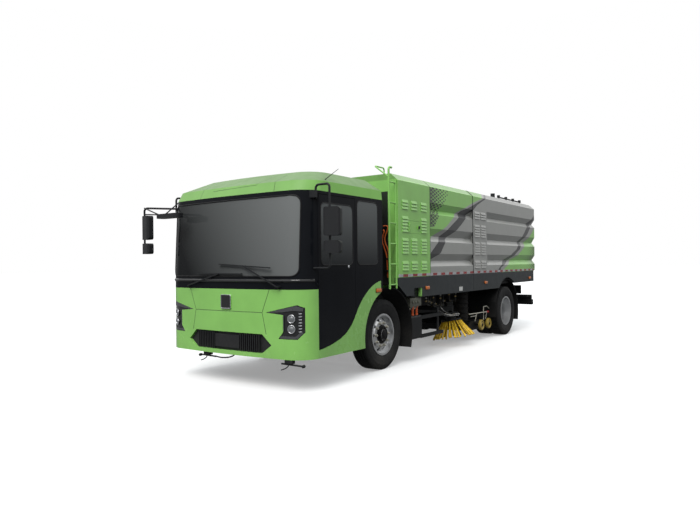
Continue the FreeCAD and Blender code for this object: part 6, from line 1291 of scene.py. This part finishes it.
for side, sign in SIDES:
    settle(brush_hose(sign), f"brush_hoses_{side}", braided, f"brush_arm_{side}", 60)
handle = [tube([(1090, 3890, 395), (1090, 3890, 655), (1090, 4075, 652), (1090, 4175, 596)], 0.009, 0.03),
          tube([(1120, 3110, 560), (1120, 3500, 552), (1120, 3990, 545)], 0.010, 0.05),
          tube([(1100, 3230, 505), (1100, 3480, 500)], 0.009, 0.03),
          drum((1090, 3990, 395), (1120, 3985, 545), 0.008, 0.002, 16),
          drum((1080, 3480, 395), (1120, 3480, 556), 0.010, 0.002, 16)]
settle(handle, "nozzle_handles", handle_cream, angle=60, pair=True)
grip = drum((1120, 3985, 545), (1120, 4060, 543), 0.017, 0.004, 24)
settle(grip, "nozzle_grips", grip_red, pair=True)
rear = [block((-990, 6452, 785), (990, 6492, 985), 0.008),
        drum((-1190, 6440, 728), (1190, 6440, 728), 0.010, 0.002, 20)]
settle(rear, "rear_cross_box", chassis_paint)
print("gear dressed")

# %% [markdown]
# ## Wheel houses and castor hubs
# A plastic panel closes the space over the rear wheels, so that no daylight shows between the tyres
# and the skirt. A cross beam carries the nozzle, and its castors get dark hub caps.

# %% Panels, beam and caps
house = [block((700, 4480, 1082), (1168, 5230, 1098), 0.005),
         block((1150, 4380, 1084), (1164, 5330, 1221), 0.003),
         block((690, 4480, 1040), (705, 5230, 1098), 0.003)]
settle(house, "rear_wheel_houses", guard_plastic, pair=True)
lift = [block((-1000, 3965, 388), (1000, 4110, 486), 0.008)]
lift += [block((x - 30, 4000, 480), (x + 30, 4075, 700), 0.005) for x in (-420, 420)]
settle(lift, "nozzle_beam", chassis_paint)
for end, y in (("front", 3720), ("rear", 4090)):
    for side, sign in SIDES:
        cap = [drum((1060 * sign, y, 305), (1140 * sign, y, 305), 0.036, 0.004, 28),
               drum((1140 * sign, y, 305), (1150 * sign, y, 305), 0.016, 0.003, 6)]
        settle(cap, f"castor_hub_{end}_{side}", dark_cover_and_bore_shade, f"nozzle_wheel_{end}_{side}")
print("castor hubs: 4")

# %% [markdown]
# ## Rear end
# The tail lamps are one housing with three lenses each, and the rear door is held shut by two toggle
# latches on each side. A row of marker lamps sits along its top, and upright strips of film mark its
# edges.

# %% Tail lamps and door latches
for name, material, x0, x1 in (("brake", red_lens, 768, 890), ("turn", amber_lens, 896, 1018),
                               ("reverse", strip_white, 1024, 1142)):
    lens = block((x0, 6762, 652), (x1, 6778, 738), 0.006, 3)
    settle(lens, f"tail_lens_{name}", material, pair=True)
latches = []
for z in (1480, 2100):
    latches += [block((1005, 6686, z - 70), (1055, 6702, z + 70), 0.005),
                block((1020, 6700, z - 55), (1040, 6722, z + 90), 0.006),
                drum((1030, 6690, z), (1030, 6728, z), 0.016, 0.003, 20)]
settle(latches, "door_latches", moulded, "hopper_door", pair=True)
tops = [block((x - 45, 6688, 2800), (x + 45, 6704, 2836), 0.005) for x in (-600, 0, 600)]
settle(tops, "door_top_lamps", red_lens, "hopper_door")
edges = [block((1070, 6688, z), (1112, 6692, z + 130), 0.0006, 1) for z in (1400, 1680, 1960, 2240)]
settle(edges, "door_film", red_lens, "hopper_door", pair=True)
bare_plate = block((-260, 6768, 540), (260, 6774, 620), 0.002)
settle(bare_plate, "plate_place", plain_white)
print("rear dressed")

# %% [markdown]
# ## Roof and mirrors
# On the roof stand a short raked aerial and the beacon's dome, and the roof rail's posts carry round
# knobs. The mirrors' glass faces the driver, so it sits on the rear of each housing, turned with it.

# %% Aerial, beacon and mirror glass
BEACON, DOME_RADIUS, DOME_STRETCH = (620, -900), 0.038, 1.35
MIRROR_TURN = 15
aerial = [drum((1200, -1535, 2548), (1200, -1490, 2582), 0.018, 0.004, 20, 0.010),
          drum((1200, -1500, 2572), (1200, -1167, 2767), 0.006, 0.001, 14, 0.003)]
settle(aerial, "roof_aerial", moulded, angle=34)
foot = drum((*BEACON, 2728), (*BEACON, 2746), 0.046, 0.004, 36)
nothing_picked()
bpy.ops.mesh.primitive_uv_sphere_add(segments=32, ring_count=16, radius=DOME_RADIUS,
                                     location=spot(*BEACON, 2762))
top = bpy.context.object
top.scale = (1, 1, DOME_STRETCH)
apply_place(top)
settle([foot, top], "beacon_dome", moulded, angle=34)
knobs = [drum((1000, y, 2950), (1000, y, 2990), 0.032, 0.006, 24) for y in (5040, 5490, 5940, 6390)]
settle(knobs, "rail_knobs", moulded, "hopper", 34)


def mirror_glass(x, y, z, height):
    turned = Euler((0, 0, math.radians(MIRROR_TURN))).to_matrix().to_4x4()
    pane = block(Vector((-0.088, 0.086, 0.022)), Vector((0.088, 0.0925, height / 1000 - 0.022)), 0.003)
    pane.data.transform(turned)
    pane.data.transform(turned.Translation(spot(x, y, z)))
    return pane


left_panes = [mirror_glass(1530, -1790, z, height) for z, height in ((1878, 340), (1672, 150))]
settle(left_panes, "mirror_glass_left", mirror_silver)
right_glass = join([mirror_glass(1545, -2105, z, height) for z, height in ((1920, 340), (1716, 150))])
pick(right_glass)
bpy.ops.transform.mirror(constraint_axis=(True, False, False), center_override=(0, 0, 0))
faces_out(right_glass)
settle(right_glass, "mirror_glass_right", mirror_silver)
print("roof and mirrors dressed")

# %% [markdown]
# ## Power cables behind the cab
# Two orange high-voltage cables hang down the front of the body in loose bends, held to it by black
# clips. They are the only bright thing in the dark gap behind the cab.

# %% Clipped cables
CABLE_RUNS = (
    ((940, 252, 2110), (985, 226, 2100), (1100, 222, 2104), (1084, 222, 2032), (1030, 222, 1930),
     (1045, 222, 1840), (1097, 224, 1741), (1103, 226, 1562), (1100, 252, 1330)),
    ((930, 252, 2050), (975, 228, 2046), (1040, 226, 2040), (1000, 226, 1960), (985, 226, 1880),
     (1030, 226, 1760), (1068, 226, 1660), (1070, 228, 1500), (1066, 252, 1330)),
)
runs = [tube(points, 0.0100, 0.045) for points in CABLE_RUNS]
clips = [block((1045, 206, z), (1126, 251, z + 20), 0.004) for z in (1420, 1600)]
clips.append(block((965, 206, 2030), (1010, 251, 2112), 0.004))
settle(runs, "clipped_cables", cable_orange, angle=60)
settle(clips, "cable_clips", moulded)
print("cables clipped:", len(CABLE_RUNS))

# %% [markdown]
# ## Chairs
# A driver's chair is foam under woven cloth: a cushion and a backrest, each crowned in the middle,
# pulled in along sewn channels and held by raised bolsters. Each pad starts as a block, is divided,
# swollen and creased along its channels, and is smoothed by one subdivision.

# %% Cloth and pads
CHAIR_X, CHANNEL_DEPTH, CHANNEL_WIDTH = 560, 0.007, 0.05


def weave(tree):
    made = texture(tree, "Wave", 260.0, wave_type="BANDS", bands_direction="DIAGONAL")
    made.inputs["Distortion"].default_value = 1.5
    return made.outputs["Fac"]


chair_cloth = finish("Woven cloth", rgb(0.055, 0.056, 0.060), 0.85, specular=0.15,
                     relief=weave, relief_depth=0.0008, mottle=0.2)


def pad(low, high, thin_axis, swell, channels):
    """A crowned cushion between two corners, creased across its long way."""
    low, high = placed(low), placed(high)
    piece = block(low, high, 0.028, 3)
    pick(piece)
    bpy.ops.object.mode_set(mode="EDIT")
    bpy.ops.mesh.select_all(action="SELECT")
    bpy.ops.mesh.subdivide(number_cuts=7)
    bpy.ops.object.mode_set(mode="OBJECT")
    middle, half = (low + high) / 2, (high - low) / 2
    others = [axis for axis in range(3) if axis != thin_axis]
    for corner in piece.data.vertices:
        share = [(corner.co[axis] - middle[axis]) / half[axis] for axis in range(3)]
        crown = (1 - share[others[0]] ** 2) * (1 - share[others[1]] ** 2)
        crease = sum(math.exp(-((share[others[1]] - place) / CHANNEL_WIDTH) ** 2) for place in channels)
        push = swell * crown - CHANNEL_DEPTH * crease * (abs(share[others[0]]) < 0.72)
        corner.co[thin_axis] += math.copysign(push, share[thin_axis]) * (abs(share[thin_axis]) > 0.4)
    modify(piece, "SUBSURF", levels=1, render_levels=1)
    return piece


for side, sign in SIDES:
    x = CHAIR_X * sign
    cushion = pad((x - 236, -696, 1294), (x + 236, -306, 1412), 2, 0.010, (-0.35, 0.3))
    back = pad((x - 236, -414, 1400), (x + 236, -304, 2034), 1, 0.008, (-0.45, 0.0, 0.45))
    rest = pad((x - 126, -386, 2044), (x + 126, -334, 2204), 1, 0.006, ())
    base = block((x - 168, -610, 1200), (x + 168, -305, 1292), 0.008)
    settle(base, f"chair_base_{side}", moulded)
    for piece, name in ((cushion, "cushion"), (back, "back"), (rest, "rest")):
        settle(piece, f"chair_{name}_{side}", chair_cloth, angle=50)
    if side == "left":
        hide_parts("seats")
print("chairs padded")
